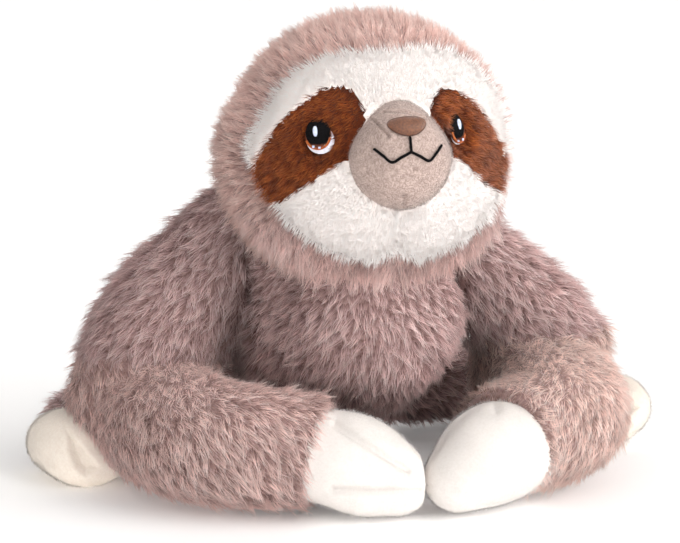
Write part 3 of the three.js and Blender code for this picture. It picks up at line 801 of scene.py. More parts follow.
def new_tree(name, inputs):
    """An empty tree with its inputs, each a name, a kind and a value where it has one."""
    tree = bpy.data.node_groups.new(name, "GeometryNodeTree")
    for label, kind, *value in inputs:
        socket = tree.interface.new_socket(name=label, in_out="INPUT", socket_type="NodeSocket" + kind)
        if value:
            socket.default_value = value[0]
    tree.interface.new_socket(name="Geometry", in_out="OUTPUT", socket_type="NodeSocketGeometry")
    return tree


def grow(piece, tree, values):
    """Puts a tree on a piece as a modifier, its inputs set by their sockets' identifiers."""
    modifier = piece.modifiers.new(tree.name, "NODES")
    modifier.node_group = tree
    for item in tree.interface.items_tree:
        if item.in_out == "INPUT" and item.name in values:
            modifier[item.identifier] = values[item.name]


# The share of its height that is left of the pile below the floor, and how dense the tufts can get, per m2
FLOOR_PRESS = 0.08
MOST_TUFTS = 900000.0


def pile_tree():
    tree = new_tree("Pile", [
        ("Geometry", "Geometry"), ("Tufts", "Collection"), ("Spacing", "Float", 0.0025),
        ("Upright", "Float", 0.8), ("Comb", "Float", 0.5), ("Unruly", "Float", 0.5),
        ("Unruly size", "Float", 0.02), ("Scatter", "Float", 0.15), ("Clump", "Float", 0.6),
        ("Clump size", "Float", 0.008), ("Slimness", "Float", 1.0), ("Floor", "Float", 0.0004),
        ("Seed", "Int", 1), ("Material", "Material")])

    def add(kind, inputs=(), **settings):
        return add_node(tree, kind, inputs, **settings)

    def math_of(operation, first, second):
        return add("ShaderNodeMath", {0: first, 1: second}, operation=operation).outputs[0]

    def vector_of(operation, first, second):
        key = "Scale" if operation == "SCALE" else 1
        return add("ShaderNodeVectorMath", {0: first, key: second}, operation=operation).outputs[0]

    def kept(name, kind):
        return add("GeometryNodeInputNamedAttribute", {"Name": name}, data_type=kind).outputs["Attribute"]

    def stored(geometry, name, kind, value):
        return add("GeometryNodeStoreNamedAttribute", {"Name": name, "Value": value, "Geometry": geometry},
                   data_type=kind, domain="POINT").outputs["Geometry"]

    def chance(low, high, seed):
        return add("FunctionNodeRandomValue", {2: low, 3: high, "Seed": seed}, data_type="FLOAT").outputs[1]

    given = add("NodeGroupInput").outputs

    # Tufts stand where the skin's own values let them
    spread = add("GeometryNodeDistributePointsOnFaces", {
        "Mesh": given["Geometry"], "Distance Min": given["Spacing"], "Density Max": MOST_TUFTS,
        "Density Factor": kept("cover", "FLOAT"), "Seed": given["Seed"]}, distribute_method="POISSON").outputs
    outside = add("FunctionNodeCompare", {0: kept("edge", "FLOAT"), 1: 0.0}, data_type="FLOAT",
                  operation="LESS_THAN").outputs[0]
    points = add("GeometryNodeDeleteGeometry", {"Geometry": spread["Points"], "Selection": outside},
                 domain="POINT").outputs["Geometry"]
    points = stored(points, "skin_normal", "FLOAT_VECTOR", spread["Normal"])
    place = add("GeometryNodeInputPosition").outputs[0]
    fineness = math_of("DIVIDE", 1.0, given["Clump size"])
    cells = add("ShaderNodeTexVoronoi", {"Vector": place, "Scale": fineness}).outputs
    # Painted shade: tufts are darker the farther they stand from their clump's middle, at the partings; the
    # rest of their tone differs at random
    tone_and_parting_shade = math_of("MULTIPLY", chance(0.0, 1.0, given["Seed"]), 0.5)
    tone_and_parting_shade = math_of("SUBTRACT", math_of("ADD", 0.7, tone_and_parting_shade), cells["Distance"])
    points = stored(points, "shade", "FLOAT", tone_and_parting_shade)

    # Each leans as it is combed, with its clump and a little by chance
    gathered = vector_of("SUBTRACT", cells["Position"], place)
    gathered = vector_of("SCALE", gathered, math_of("DIVIDE", given["Clump"], given["Clump size"]))
    normal = kept("skin_normal", "FLOAT_VECTOR")
    coarseness = math_of("DIVIDE", 1.0, given["Unruly size"])
    wave = add("ShaderNodeTexNoise", {"Vector": place, "Scale": coarseness, "Detail": 1.5}).outputs["Color"]
    wave = vector_of("SUBTRACT", wave, (0.5, 0.5, 0.5))
    shake = add("FunctionNodeRandomValue", {0: (-1.0, -1.0, -1.0), 1: (1.0, 1.0, 1.0), "Seed": given["Seed"]},
                data_type="FLOAT_VECTOR").outputs[0]
    combed = kept("comb", "FLOAT_VECTOR")
    way = vector_of("SCALE", normal, given["Upright"])
    way = vector_of("ADD", way, vector_of("SCALE", combed, given["Comb"]))
    way = vector_of("ADD", way, vector_of("SCALE", wave, given["Unruly"]))
    way = vector_of("ADD", way, gathered)
    way = vector_of("ADD", way, vector_of("SCALE", shake, given["Scatter"]))
    way = add("ShaderNodeVectorMath", {0: way}, operation="NORMALIZE").outputs[0]

    # No tip goes through the floor
    length = math_of("MULTIPLY", kept("pile", "FLOAT"), chance(0.8, 1.12, math_of("ADD", given["Seed"], 7)))
    parts = add("ShaderNodeSeparateXYZ", {0: way}).outputs
    height = add("ShaderNodeSeparateXYZ", {0: place}).outputs[2]
    lowest = math_of("DIVIDE", math_of("SUBTRACT", given["Floor"], height), length)
    rise = math_of("MAXIMUM", parts[2], lowest)
    way = add("ShaderNodeCombineXYZ", {0: parts[0], 1: parts[1], 2: rise}).outputs[0]
    turn = add("FunctionNodeAlignRotationToVector", {"Vector": way}, axis="Z").outputs[0]
    turn = add("FunctionNodeAlignRotationToVector", {"Rotation": turn, "Vector": combed}, axis="X",
               pivot_axis="Z").outputs[0]
    spin = add("ShaderNodeCombineXYZ", {2: chance(-0.9, 0.9, math_of("ADD", given["Seed"], 3))}).outputs[0]
    spin = add("FunctionNodeEulerToRotation", {0: spin}).outputs[0]
    turn = add("FunctionNodeRotateRotation", {0: turn, 1: spin}, rotation_space="LOCAL").outputs[0]
    wide = math_of("MULTIPLY", length, given["Slimness"])
    size = add("ShaderNodeCombineXYZ", {0: wide, 1: wide, 2: length}).outputs[0]
    tufts = add("GeometryNodeCollectionInfo", {"Collection": given["Tufts"], "Separate Children": True,
                                               "Reset Children": True}).outputs[0]
    planted = add("GeometryNodeInstanceOnPoints", {"Points": points, "Instance": tufts, "Pick Instance": True,
                                                   "Rotation": turn, "Scale": size}).outputs[0]
    real = add("GeometryNodeRealizeInstances", {"Geometry": planted}).outputs[0]
    spot = add("ShaderNodeSeparateXYZ", {0: add("GeometryNodeInputPosition").outputs[0]}).outputs
    pressed = math_of("MULTIPLY", math_of("SUBTRACT", spot[2], given["Floor"]), FLOOR_PRESS)
    pressed = math_of("MAXIMUM", spot[2], math_of("ADD", given["Floor"], pressed))
    spot = add("ShaderNodeCombineXYZ", {0: spot[0], 1: spot[1], 2: pressed}).outputs[0]
    real = add("GeometryNodeSetPosition", {"Geometry": real, "Position": spot}).outputs[0]
    dressed = add("GeometryNodeSetMaterial", {"Geometry": real, "Material": given["Material"]}).outputs[0]
    add("NodeGroupOutput", {0: dressed})
    return tree


def thread_tree():
    tree = new_tree("Threads", [("Geometry", "Geometry"), ("Radius", "Float", 0.0003), ("Sides", "Int", 6),
                                ("Material", "Material")])
    given = add_node(tree, "NodeGroupInput").outputs
    section = add_node(tree, "GeometryNodeCurvePrimitiveCircle", {
        "Resolution": given["Sides"], "Radius": given["Radius"]}).outputs["Curve"]
    tube = add_node(tree, "GeometryNodeCurveToMesh", {
        "Curve": given["Geometry"], "Profile Curve": section, "Fill Caps": True}).outputs[0]
    smooth = add_node(tree, "GeometryNodeSetShadeSmooth", {0: tube}).outputs[0]
    real = add_node(tree, "GeometryNodeRealizeInstances", {0: smooth}).outputs[0]
    dressed = add_node(tree, "GeometryNodeSetMaterial", {
        "Geometry": real, "Material": given["Material"]}).outputs[0]
    add_node(tree, "NodeGroupOutput", {0: dressed})
    return tree


PILE = pile_tree()
THREADS = thread_tree()


def planted(name, skin, tufts, material, body, slot, edge=None, **inputs):
    """A coat of tufts on a skin, as one plain mesh riding on a body."""
    piece = linked(name, skin.data.copy())
    if edge is not None:
        keep_value(piece, "edge", edge)
    grow(piece, PILE, {"Tufts": tufts, "Material": material, **inputs})
    made_plain(piece)
    for spare in ("comb", "pile", "cover", "edge", "cut"):
        found = piece.data.attributes.get(spare)
        if found:
            piece.data.attributes.remove(found)
    # Fibres let light through, so they throw no shadow on each other: the skins below them do
    piece.visible_shadow = False
    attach(piece, body)


def coated(skin, comb, pile, cover=None, crevice=0.0):
    """Keeps on a skin how its pile is combed, how long it is, where it grows and how much painted shade it
    gets where it lies in a fold.
    """
    points = places(skin)
    out = normals(skin)
    comb = np.broadcast_to(comb, out.shape)
    comb = comb - out * np.sum(comb * out, axis=1)[:, None]
    keep_value(skin, "comb", units(comb))
    keep_value(skin, "pile", np.broadcast_to(pile, len(points)) * MM)
    keep_value(skin, "crevice", np.broadcast_to(crevice, len(points)))
    centres = face_places(skin)
    marks = np.zeros(len(centres), np.int32)
    if skin.data.attributes.get("cut"):
        skin.data.attributes["cut"].data.foreach_get("value", marks)
    keep_value(skin, "cover", (1.0 if cover is None else cover(centres)) * (marks == 0), "FACE")
    keep_value(skin, "edge", np.ones(len(points)))


def dress_skin(skin, material, body, nodes):
    skin.data.materials.clear()
    skin.data.materials.append(material)
    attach(skin, body)
    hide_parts(*nodes)


def steady(values, low, high):
    """A smooth step from 0 at low to 1 at high, which may be the smaller of the two."""
    t = np.clip((values - low) / (high - low), 0, 1)
    return t * t * (3 - 2 * t)


# Lengths of the pile, and how each kind of it stands
FUR_LENGTH = 14.5
HEAD_FUR_LENGTH = 13.5
RUFF_LENGTH = 21.0
FUZZ_LENGTH = 2.2
VELVET_LENGTH = 1.9
LONG = {"Spacing": 2.75 * MM, "Upright": 0.6, "Comb": 0.6, "Unruly": 0.75, "Unruly size": 0.011,
        "Scatter": 0.25, "Clump": 0.3, "Clump size": 0.005}
TOUSLED = {**LONG, "Comb": 0.55, "Unruly": 0.9, "Unruly size": 0.009}
COMBED = {**LONG, "Comb": 0.75, "Unruly": 0.5}
STANDING = {**LONG, "Upright": 0.75, "Unruly": 0.5, "Clump": 0.15, "Slimness": 0.85}
WIDER = {"Spacing": 3.4 * MM}
SPARSE = {**LONG, **WIDER}
SHORT = {**LONG, "Spacing": 1.5 * MM, "Unruly": 0.5, "Clump": 0.2, "Clump size": 0.004}
FUZZ = {**SHORT, "Upright": 0.8, "Comb": 0.5, "Unruly": 0.6, "Unruly size": 0.01, "Scatter": 0.3,
        "Clump": 0.0}

# How high above the floor the flat soles of paws and feet are
SOLE_HEIGHT = 0.2


def front_and_rear(points, meeting):
    """The two parts of a coat: their name, how far inside each a place lies, and what sets it apart."""
    return (("front", meeting - points[:, 1], {}), ("rear", points[:, 1] - meeting, WIDER))


def off_floor(points):
    return steady(points[:, 2], 0.5, 4)


# Torso

# From where to where each part of the torso's coat reaches, from front to back
TORSO_COAT = {"front": (-200, 8), "middle": (8, 68), "rear": (68, 300)}
TORSO_COMB = (0.0, 0.45, -1.0)
COMB_SPREAD = 0.006
# The share of its length that the pile keeps under the chin, and how much longer it is beside the arms
CHIN_SHARE = 0.75
ARMPIT_FILL = 5.0


def belly_shaped(points):
    """The front of the belly is held up off the floor and draws in towards the left."""
    shaped = points.copy()
    front = steady(points[:, 1], 45, 5)
    low = steady(points[:, 2], 105, 45)
    shaped[:, 0] -= front * low * BELLY_TUCK * np.maximum(points[:, 0] - 8, 0)
    shaped[:, 2] += front * BELLY_LIFT * steady(points[:, 2], 80, 25)
    return shaped


def make_torso():
    forms = [stuffed_form(stations, wide_axis, LONG_PILE)
             for stations, wide_axis in ((TRUNK, ASIDE), (YOKE, UP), (THROAT, UP), (FLANK, BACK))]
    skin = rounded_skin("torso_skin", forms)
    move_to(skin, belly_shaped(places(skin)))
    for side in (1, -1):
        cut_flat(skin, (side * (SHOULDER_ASIDE - SEAM_GAP), 0, 0), (side, 0, 0))
    points = places(skin)
    comb = np.tile(TORSO_COMB, (len(points), 1))
    comb[:, 0] += points[:, 0] * COMB_SPREAD

    # The pile lies short under the chin, and fills the hollow beside each arm
    in_arms = np.maximum(ROOMS["upper_arm_left"].depth(points), ROOMS["upper_arm_right"].depth(points))
    length = FUR_LENGTH * (CHIN_SHARE + (1 - CHIN_SHARE) * steady(-head_depth(points), 4, 22))
    length += ARMPIT_FILL * steady(in_arms, -16, -6)
    cover = pile_outside({"head": -1, "upper_arm_left": 9, "upper_arm_right": 9,
                          "leg_left": 4, "leg_right": 4})

    # Painted shade in the fold beside each arm: on the toy's left only the low part of the fold is darkened
    shaded = np.where(points[:, 0] < 0, 1.0, steady(points[:, 2], 90, 60))
    coated(skin, comb, length, cover, crevice=shaded * steady(in_arms, -20, -4))
    for part, (near, far) in TORSO_COAT.items():
        band = np.minimum(points[:, 1] - near, far - points[:, 1])
        planted(f"torso_fur_{part}", skin, LONG_TUFTS, LONG_FUR, "trunk", "long_fur", edge=band, Seed=5,
                **(LONG if part == "front" else SPARSE))
    dress_skin(skin, LONG_FUR_SHADE_BACKING, "trunk", ("torso_cover", "torso_stuffing"))


# Head

# How far back the two parts of the head's coat meet
HEAD_COAT_MEETS = 12
# How far the chin's seam draws up the lower edge of the white face
PANEL_RISE = 3.5
# Which way the top of the fur leans and how far, and how much wider it is on either side
LEAN_WAY = np.array((0.956, -0.292, 0.0))
DOME_LEAN = 6.5
SIDE_SWELL = {"left": 4.0, "right": 2.0}
# How much shorter the pile is where the white face's rim lifts it
RIM_TRIM = 3.0
# The hanging pile under the chin: how wide its band is, and where it ends at the top and at the rear
RUFF_WIDTH = 38
RUFF_TOP = -0.3
RUFF_REAR = -0.35
# How far the white pile reaches over its panel, and how much longer it is round the edge
WHITE_OVER = 1.5
WHITE_FRINGE = 4.0
# The brown pile: its length beside an eye, how much of the patch's depth it leaves, and the lashes' length
BROWN_LENGTH = 3.0
BROWN_PRESSED = 1.5
LASH_LENGTH = 3.0


def low_on_face(chart):
    return steady(-chart[:, 1], 20, 30)


def panel_edge(chart):
    """How far inside the white face a place lies; its lower edge is drawn up a little by the seam."""
    return edge_distance(chart, FACE_OUTLINE) - PANEL_RISE * low_on_face(chart)


def patches_edge(chart):
    """How far inside the nearer brown patch a place lies."""
    return np.maximum(*(edge_distance(chart, outline) for outline in PATCH_OUTLINES.values()))


def make_head():
    skin = ball("head_skin", HEAD_CENTRE, HEAD_RADIUS - HEAD_PILE)
    points = places(skin)
    out = units(points - HEAD_CENTRE)
    chart = face_chart(points)
    face_edge = panel_edge(chart)
    patch_edge = patches_edge(chart)

    def gap_to_eye(side, shift=0.0, width=EYE_WIDTH):
        aside = (chart[:, 0] - side * EYE_ASIDE - EYE_SHIFT - shift) / (width / 2)
        up = (chart[:, 1] - EYE_RISE) / (EYE_HEIGHT / 2)
        return (np.hypot(aside, up) - 1) * width / 2

    eye_gap = np.minimum(gap_to_eye(1), gap_to_eye(-1))

    # The short-piled panels stand higher on the stuffing than the backing of the long fur
    inset = np.full(len(points), HEAD_PILE)
    raised = steady(face_edge, -10, 0)
    inset += (WHITE_PILE - HEAD_PILE) * raised
    inset += (PATCH_PILE - WHITE_PILE) * steady(patch_edge, -1.5, 2)
    inset += (EYE_PILE - PATCH_PILE) * (1 - steady(eye_gap, -0.5, 2.5))
    below = low_on_face(chart)
    inset += CHIN_SEAM_DEPTH * below * np.exp(-(chart[:, 0] / CHIN_SEAM_WIDTH) ** 2) * steady(face_edge, 0, 3)
    inset -= CHEEK_SWELL * below * steady(face_edge, -12, 4) * steady(np.abs(chart[:, 0]), 2, 18)
    points = HEAD_CENTRE + out * (HEAD_RADIUS - inset)[:, None]

    # Around the face the fur's stuffing leans to the toy's left at the top, and is wider at both sides
    across = out @ LEAN_WAY
    high = steady(out @ UP, 0.12, 0.4)
    wider = SIDE_SWELL["left"] * steady(across, 0.45, 0.85)
    wider -= SIDE_SWELL["right"] * steady(-across, 0.45, 0.85)
    dome = DOME_LEAN * (1 - 0.5 * steady(-across, 0.2, 0.6))
    lean = (dome * high + wider * (1 - high)) * (1 - steady(face_edge, -6, 18))
    points = points + np.outer(lean, LEAN_WAY)
    move_to(skin, points)
    muzzle_gap = np.linalg.norm(points - MUZZLE_CENTRE, axis=1) - MUZZLE_RADIUS

    low_share = steady(-out @ UP, -0.2, 0.7)
    comb = -FRONT + np.outer(low_share, (0.0, 0.0, -0.9))
    comb = comb + np.outer(steady(out @ UP, 0.2, 0.9), (0.0, 0.3, 0.0))
    cover = pile_outside({"trunk": 0}, 6, 10)
    coated(skin, comb, HEAD_FUR_LENGTH - RIM_TRIM * raised, cover)
    for part, band, spacing in front_and_rear(points, HEAD_COAT_MEETS):
        planted(f"head_fur_{part}", skin, LONG_TUFTS, HEAD_FUR_PAINTED_LIGHT, "head", "long_fur",
                edge=np.minimum(-face_edge, band), Seed=8, **{**STANDING, **spacing})

    # Under the chin the pile is longer and hangs over the chest
    ruff = np.minimum(np.minimum(-face_edge - 1, RUFF_WIDTH + face_edge), (RUFF_TOP - out @ UP) * HEAD_RADIUS)
    ruff = np.minimum(ruff, (out @ FRONT - RUFF_REAR) * HEAD_RADIUS)
    coated(skin, -FRONT * 0.3 - UP, RUFF_LENGTH * (0.6 + 0.4 * steady(ruff, 0, 12)),
           pile_outside({"trunk": 0}, 14, 20))
    planted("chin_fur", skin, LONG_TUFTS, RUFF_FUR, "head", "long_fur", edge=ruff, Seed=9,
            **{**LONG, "Upright": 1.0, "Comb": 0.45, "Unruly": 0.9})

    away = units(np.stack([chart[:, 0], chart[:, 1] + 4], axis=1))
    outward = np.outer(away[:, 0], ASIDE) + np.outer(away[:, 1], RISE)
    outward = outward + np.outer(np.where(chart[:, 1] < 0, 0.5, 0.0), (0.0, 0.0, -1.0))
    white_length = WHITE_PILE + WHITE_OVER + WHITE_FRINGE * (1 - steady(face_edge, 0, 8))
    coated(skin, outward, white_length, cover)
    white_edge = np.minimum(face_edge, -patch_edge)
    planted("face_fur", skin, SHORT_TUFTS, WHITE_FUR, "head", "white_fur",
            edge=np.minimum(white_edge, muzzle_gap + 1.0), Seed=12,
            **{**SHORT, "Unruly": 0.4, "Unruly size": 0.014, "Clump": 0.0, "Comb": 0.65})

    side_way = np.outer(np.sign(chart[:, 0]), ASIDE) * 0.9 - np.tile(UP, (len(points), 1)) * 0.55
    for hand, side in HANDS:
        open_eye = gap_to_eye(side, *EYE_OPENINGS[hand])
        patch_length = (BROWN_LENGTH + (PATCH_PILE - BROWN_PRESSED) * steady(open_eye, 0, 5)
                        + LASH_LENGTH * steady(-eye_gap, -1, 1))
        coated(skin, side_way, patch_length, cover)
        edge = np.minimum(edge_distance(chart, PATCH_OUTLINES[side]), np.minimum(open_eye, muzzle_gap + 0.5))
        planted(f"patch_fur_{hand}", skin, SHORT_TUFTS, BROWN_FUR, "head", "brown_fur", edge=edge,
                Seed=20 + side, **{**SHORT, "Spacing": 1.3 * MM, "Unruly": 0.9, "Unruly size": 0.008,
                                   "Clump": 0.35})

    dress_skin(skin, LONG_FUR_SHADE_BACKING, "head",
               ("head_cover", "head_stuffing", "brow_panel", "cheek_panel_left", "cheek_panel_right",
                "eye_patch_left", "eye_patch_right"))
    skin.data.materials.append(WHITE_BACKING)
    skin.data.materials.append(BROWN_BACKING)
    centres = face_chart(face_places(skin))
    backing = np.where(patches_edge(centres) > 0, 2, np.where(panel_edge(centres) > 0, 1, 0))
    skin.data.polygons.foreach_set("material_index", backing.astype(np.int32))


# Arms

# How the cuff's edge faces ahead, to the front and down, how far it reaches, and how the pile lies there
CUFF_AHEAD = 0.8
CUFF_TURN = {"left": 0.3, "right": 0.0}
CUFF_LEAN = {"left": 0.0, "right": 0.15}
CUFF_REACH = {"left": 5.0, "right": -3.0}
CUFF_FUR = {"left": 11.0, "right": 13.0}
CUFF_FLARE = {"left": 2.5, "right": 0.0}
# How much wider each elbow is, and how far the left shoulder is drawn in and the right one filled out
ELBOW_SWELL = {"left": 7.0, "right": 4.5}
SHOULDER_DRAWN = 6.0
SHOULDER_FILLED = 7.0
SHOULDER_WAY = (-0.6, 0.0, 0.8)
# The upper arm's pile is longer towards the trunk and shorter over the shoulder
INNER_FUR = 6.0
SHOULDER_TRIM = 4.0
# Painted shade on the upper arm: how strongly its folds are darkened, from which height down, and how much of
# it is darkened everywhere
PAINTED_FOLD_SHADE = 0.8
PAINTED_FOLD_HEIGHTS = {"left": (100, 70), "right": (155, 130)}
LEAST_PAINTED_SHADE = 0.12
# Where the two parts of the sleeve's coat meet
SLEEVE_COAT_MEETS = -20.0
# How far a paw can swell, and how far it reaches into its cuff
PAW_SLACK = 3.5
PAW_SWELL = 5.0
PAW_TUCK = 14.0
PAW_SEAM_DEPTH = {"left": 1.2, "right": 2.6}
PAW_SEAM_WIDTH = {"left": 2.6, "right": 2.2}
PAW_LIFT = {"left": 3.0, "right": 8.0}
PAW_SEAMS = {
    "right": [[(-47, -108, 57), (-38, -119, 51), (-26, -126, 43), (-10, -127, 32)],
              [(-52, -122, 22), (-38, -127, 21.5), (-21, -128, 20.5), (-3, -128, 19)]],
    "left": [[(49, -102, 62), (46, -113, 59)],
             [(54, -88, 61), (40, -95, 60), (22, -100, 48), (10, -104, 34)]],
}


def arm_shaped(points, hand, side):
    """Fills out one shoulder, draws in the other and widens the elbows."""
    shaped = points.copy()
    outer = steady(side * points[:, 0], 95, 135)
    height = points[:, 2]
    if hand == "left":
        shaped[:, 0] += ELBOW_SWELL[hand] * outer * steady(height, 88, 68)
        shaped[:, 0] -= SHOULDER_DRAWN * steady(height, 94, 120) * steady(points[:, 0], 60, 80)
    else:
        shaped[:, 0] -= ELBOW_SWELL[hand] * outer * steady(height, 70, 56)
        shaped += np.outer(SHOULDER_FILLED * steady(height, 135, 156), SHOULDER_WAY)
    return shaped


def make_upper_arm(hand, side):
    body = f"upper_arm_{hand}"
    form = stuffed_form(upper_arm_stations(side), BACK, ARM_PILE[hand])
    skin = rounded_skin(f"upper_arm_skin_{hand}", [form])
    move_to(skin, arm_shaped(places(skin), hand, side))
    cut_flat(skin, (side * SHOULDER_ASIDE, 0, 0), (-side, 0, 0))
    cut_flat(skin, (0, 0, ELBOW_SEAM + SEAM_GAP), (0, 0, -1))
    points = places(skin)
    comb = ROOMS[body].way(points) + np.array((side * 0.15, 0.1, -0.35))
    trunk_depth = ROOMS["trunk"].depth(points)
    inner = steady(trunk_depth, -18, -6) * steady(points[:, 2], 125, 105)
    # Painted shade: the pile darkens in the fold beside the trunk and above the elbow's seam
    fold = np.maximum(steady(trunk_depth, -34, -6), 0.5 * steady(points[:, 2], ELBOW_SEAM + 12, ELBOW_SEAM))
    fold = fold * steady(points[:, 2], *PAINTED_FOLD_HEIGHTS[hand])
    length = FUR_LENGTH + INNER_FUR * inner - SHOULDER_TRIM * steady(points[:, 2], 145, 165)
    coated(skin, comb, length, pile_outside({"head": -1, "trunk": 11}),
           crevice=np.maximum(PAINTED_FOLD_SHADE * fold, LEAST_PAINTED_SHADE))
    planted(f"upper_arm_fur_{hand}", skin, LONG_TUFTS, LONG_FUR, body, "long_fur", Seed=30 + side, **TOUSLED)
    dress_skin(skin, LONG_FUR_SHADE_BACKING, body,
               (f"upper_arm_cover_{hand}", f"upper_arm_stuffing_{hand}"))

    # The right upper arm would put the belly's side in deep shade, so it throws no shadow
    skin.visible_shadow = hand == "left"


def make_forearm(hand, side):
    body = f"forearm_{hand}"
    cuff, along = cuff_frame(hand, side)
    opening = unit(along * CUFF_AHEAD - BACK * CUFF_TURN[hand] - UP * CUFF_LEAN[hand])
    skin = rounded_skin(f"forearm_skin_{hand}", [stuffed_form(elbow_stations(side), BACK, ARM_PILE[hand]),
                                                  stuffed_form(sleeve_stations(hand, side), UP, LONG_PILE)])
    move_to(skin, arm_shaped(places(skin), hand, side))
    cut_flat(skin, (0, 0, ELBOW_SEAM), (0, 0, 1))
    cut_flat(skin, cuff + opening * CUFF_REACH[hand], opening, bare=False)
    points = places(skin)
    from_cuff = (cuff - points) @ opening + CUFF_REACH[hand]
    comb = Room(sleeve_stations(hand, side)).way(points) * 0.8 + np.array((side * 0.25, 0.0, -0.75))
    off_axis = points - cuff - np.outer((points - cuff) @ along, along)
    comb += np.outer(CUFF_FLARE[hand] * (1 - steady(from_cuff, 3, 14)), (1, 1, 1)) * units(off_axis)
    length = FUR_LENGTH + (CUFF_FUR[hand] - FUR_LENGTH) * (1 - steady(from_cuff, 3, 24))
    # Painted shade: the pile darkens where it lies close beside the trunk
    coated(skin, comb, length, pile_outside({"trunk": 2}, 6, 10),
           crevice=0.6 * steady(ROOMS["trunk"].depth(points), -24, -4))
    for part, band, spacing in front_and_rear(points, SLEEVE_COAT_MEETS):
        planted(f"forearm_fur_{part}_{hand}", skin, LONG_TUFTS, SLEEVE_FUR_PAINTED_LIGHT[hand], body, "long_fur",
                edge=band, Seed=40 + side, **{**COMBED, **spacing})
    dress_skin(skin, LONG_FUR_SHADE_BACKING, body,
               (f"forearm_cover_{hand}", f"forearm_stuffing_{hand}"))


def make_paw(hand, side):
    """A mitt sewn from three lobes, which swell between their seams."""
    cuff, along = cuff_frame(hand, side)
    paw = rounded_skin(f"paw_{hand}", [stuffed_form(paw_stations(hand, side), UP, PAW_SLACK)], smoothing=3)
    points = places(paw)
    gap, seen = seam_gaps(paw, PAW_SEAMS[hand])
    held = np.maximum(groove(gap, 1.0, 4.0) * seen, steady((cuff - points) @ along, 2, 8))
    puffed(paw, held, PAW_SWELL)
    refined(paw, 2)
    points = places(paw)
    lift = PAW_LIFT[hand] * (1 - steady((points - cuff) @ along, -2, 30)) * (1 - steady(points[:, 2], 0, 50))
    move_to(paw, points + np.outer(lift, UP))
    cut_flat(paw, cuff - along * PAW_TUCK, -along)
    cut_flat(paw, (0, 0, SOLE_HEIGHT), (0, 0, -1))
    cut_flat(paw, (PAW_MEETING + side * PAW_PARTING, 0, 0), (-side, 0, 0))
    points = places(paw)
    gap, seen = seam_gaps(paw, PAW_SEAMS[hand])
    dip = groove(gap, PAW_SEAM_DEPTH[hand], PAW_SEAM_WIDTH[hand]) * seen * off_floor(points)
    move_to(paw, points - normals(paw) * dip[:, None])
    coated(paw, along - UP * 0.3, FUZZ_LENGTH)
    planted(f"paw_fuzz_{hand}", paw, FUZZ_TUFTS, PAW_FUZZ, f"forearm_{hand}", "paw_plush",
            Seed=50 + side, **FUZZ)
    dress_skin(paw, PAW_PLUSH, f"forearm_{hand}",
               (f"paw_cover_{hand}", f"paw_stuffing_{hand}"))


# Legs

LEG_PILE = 7.0
LEG_FUR = 12.5
# How far leg and foot reach past the ankle's seam
LEG_OVER = 3.0
FOOT_OVER = 2.0
# How far a foot can swell, and how flat it is
FOOT_SLACK = 2.5
FOOT_SWELL = 3.0
FOOT_TOP = 44
FOOT_FLATNESS = 0.92
FOOT_FORWARD = {"left": 2.0, "right": 9.0}
# How far the front of each foot turns in, and how far its sole spreads towards the middle
FOOT_INWARD = {"left": -3.0, "right": 4.0}
SOLE_SPREAD = {"left": 0.0, "right": 9.0}
SOLE_FROM = 162.0
SOLE_SLOPE = {"left": 0.4, "right": 0.08}
FOOT_CREASES = {
    "right": [(-171, 8, 36), (-173, -3, 25), (-170, -6, 14.5), (-163, -4, 7.5), (-154, -6, 13.5)],
    "left": [(160, 6, 34), (172, 5, 31), (182, 6, 25), (171, 1, 20), (158, 1, 18)],
}


def foot_shaped(points, hand, side):
    """A flat pad whose sole rises towards its outer side."""
    low = SOLE_SLOPE[hand] * np.maximum(side * points[:, 0] - SOLE_FROM, 0) * steady(points[:, 1], 62, 45)
    shaped = points.copy()
    ahead = steady(points[:, 1], ANKLE_BACK, 20)
    shaped[:, 1] -= FOOT_FORWARD[hand] * ahead
    shaped[:, 2] = low + points[:, 2] * FOOT_FLATNESS * (1 - low / FOOT_TOP)
    inner = steady(side * points[:, 0], SOLE_FROM, SOLE_FROM - 24) * steady(points[:, 2], 26, 6)
    shaped[:, 0] -= side * ahead * (FOOT_INWARD[hand] + SOLE_SPREAD[hand] * inner)
    return shaped


def make_leg(hand, side):
    body = f"leg_{hand}"
    skin = rounded_skin(f"leg_skin_{hand}", [stuffed_form(leg_stations(hand, side), UP, LEG_PILE)],
                        voxel=3.0, smoothing=4)
    cut_flat(skin, (0, ANKLE_BACK + LEG_OVER, 0), (0, -1, 0))
    comb = ROOMS[body].way(places(skin)) + np.array((0.0, 0.2, -0.5))
    coated(skin, comb, LEG_FUR, pile_outside({"trunk": 3}, 6, 10))
    planted(f"leg_fur_{hand}", skin, LONG_TUFTS, LONG_FUR, body, "long_fur", Seed=60 + side, **SPARSE)
    dress_skin(skin, LONG_FUR_SHADE_BACKING, body, (f"leg_cover_{hand}", f"leg_stuffing_{hand}"))


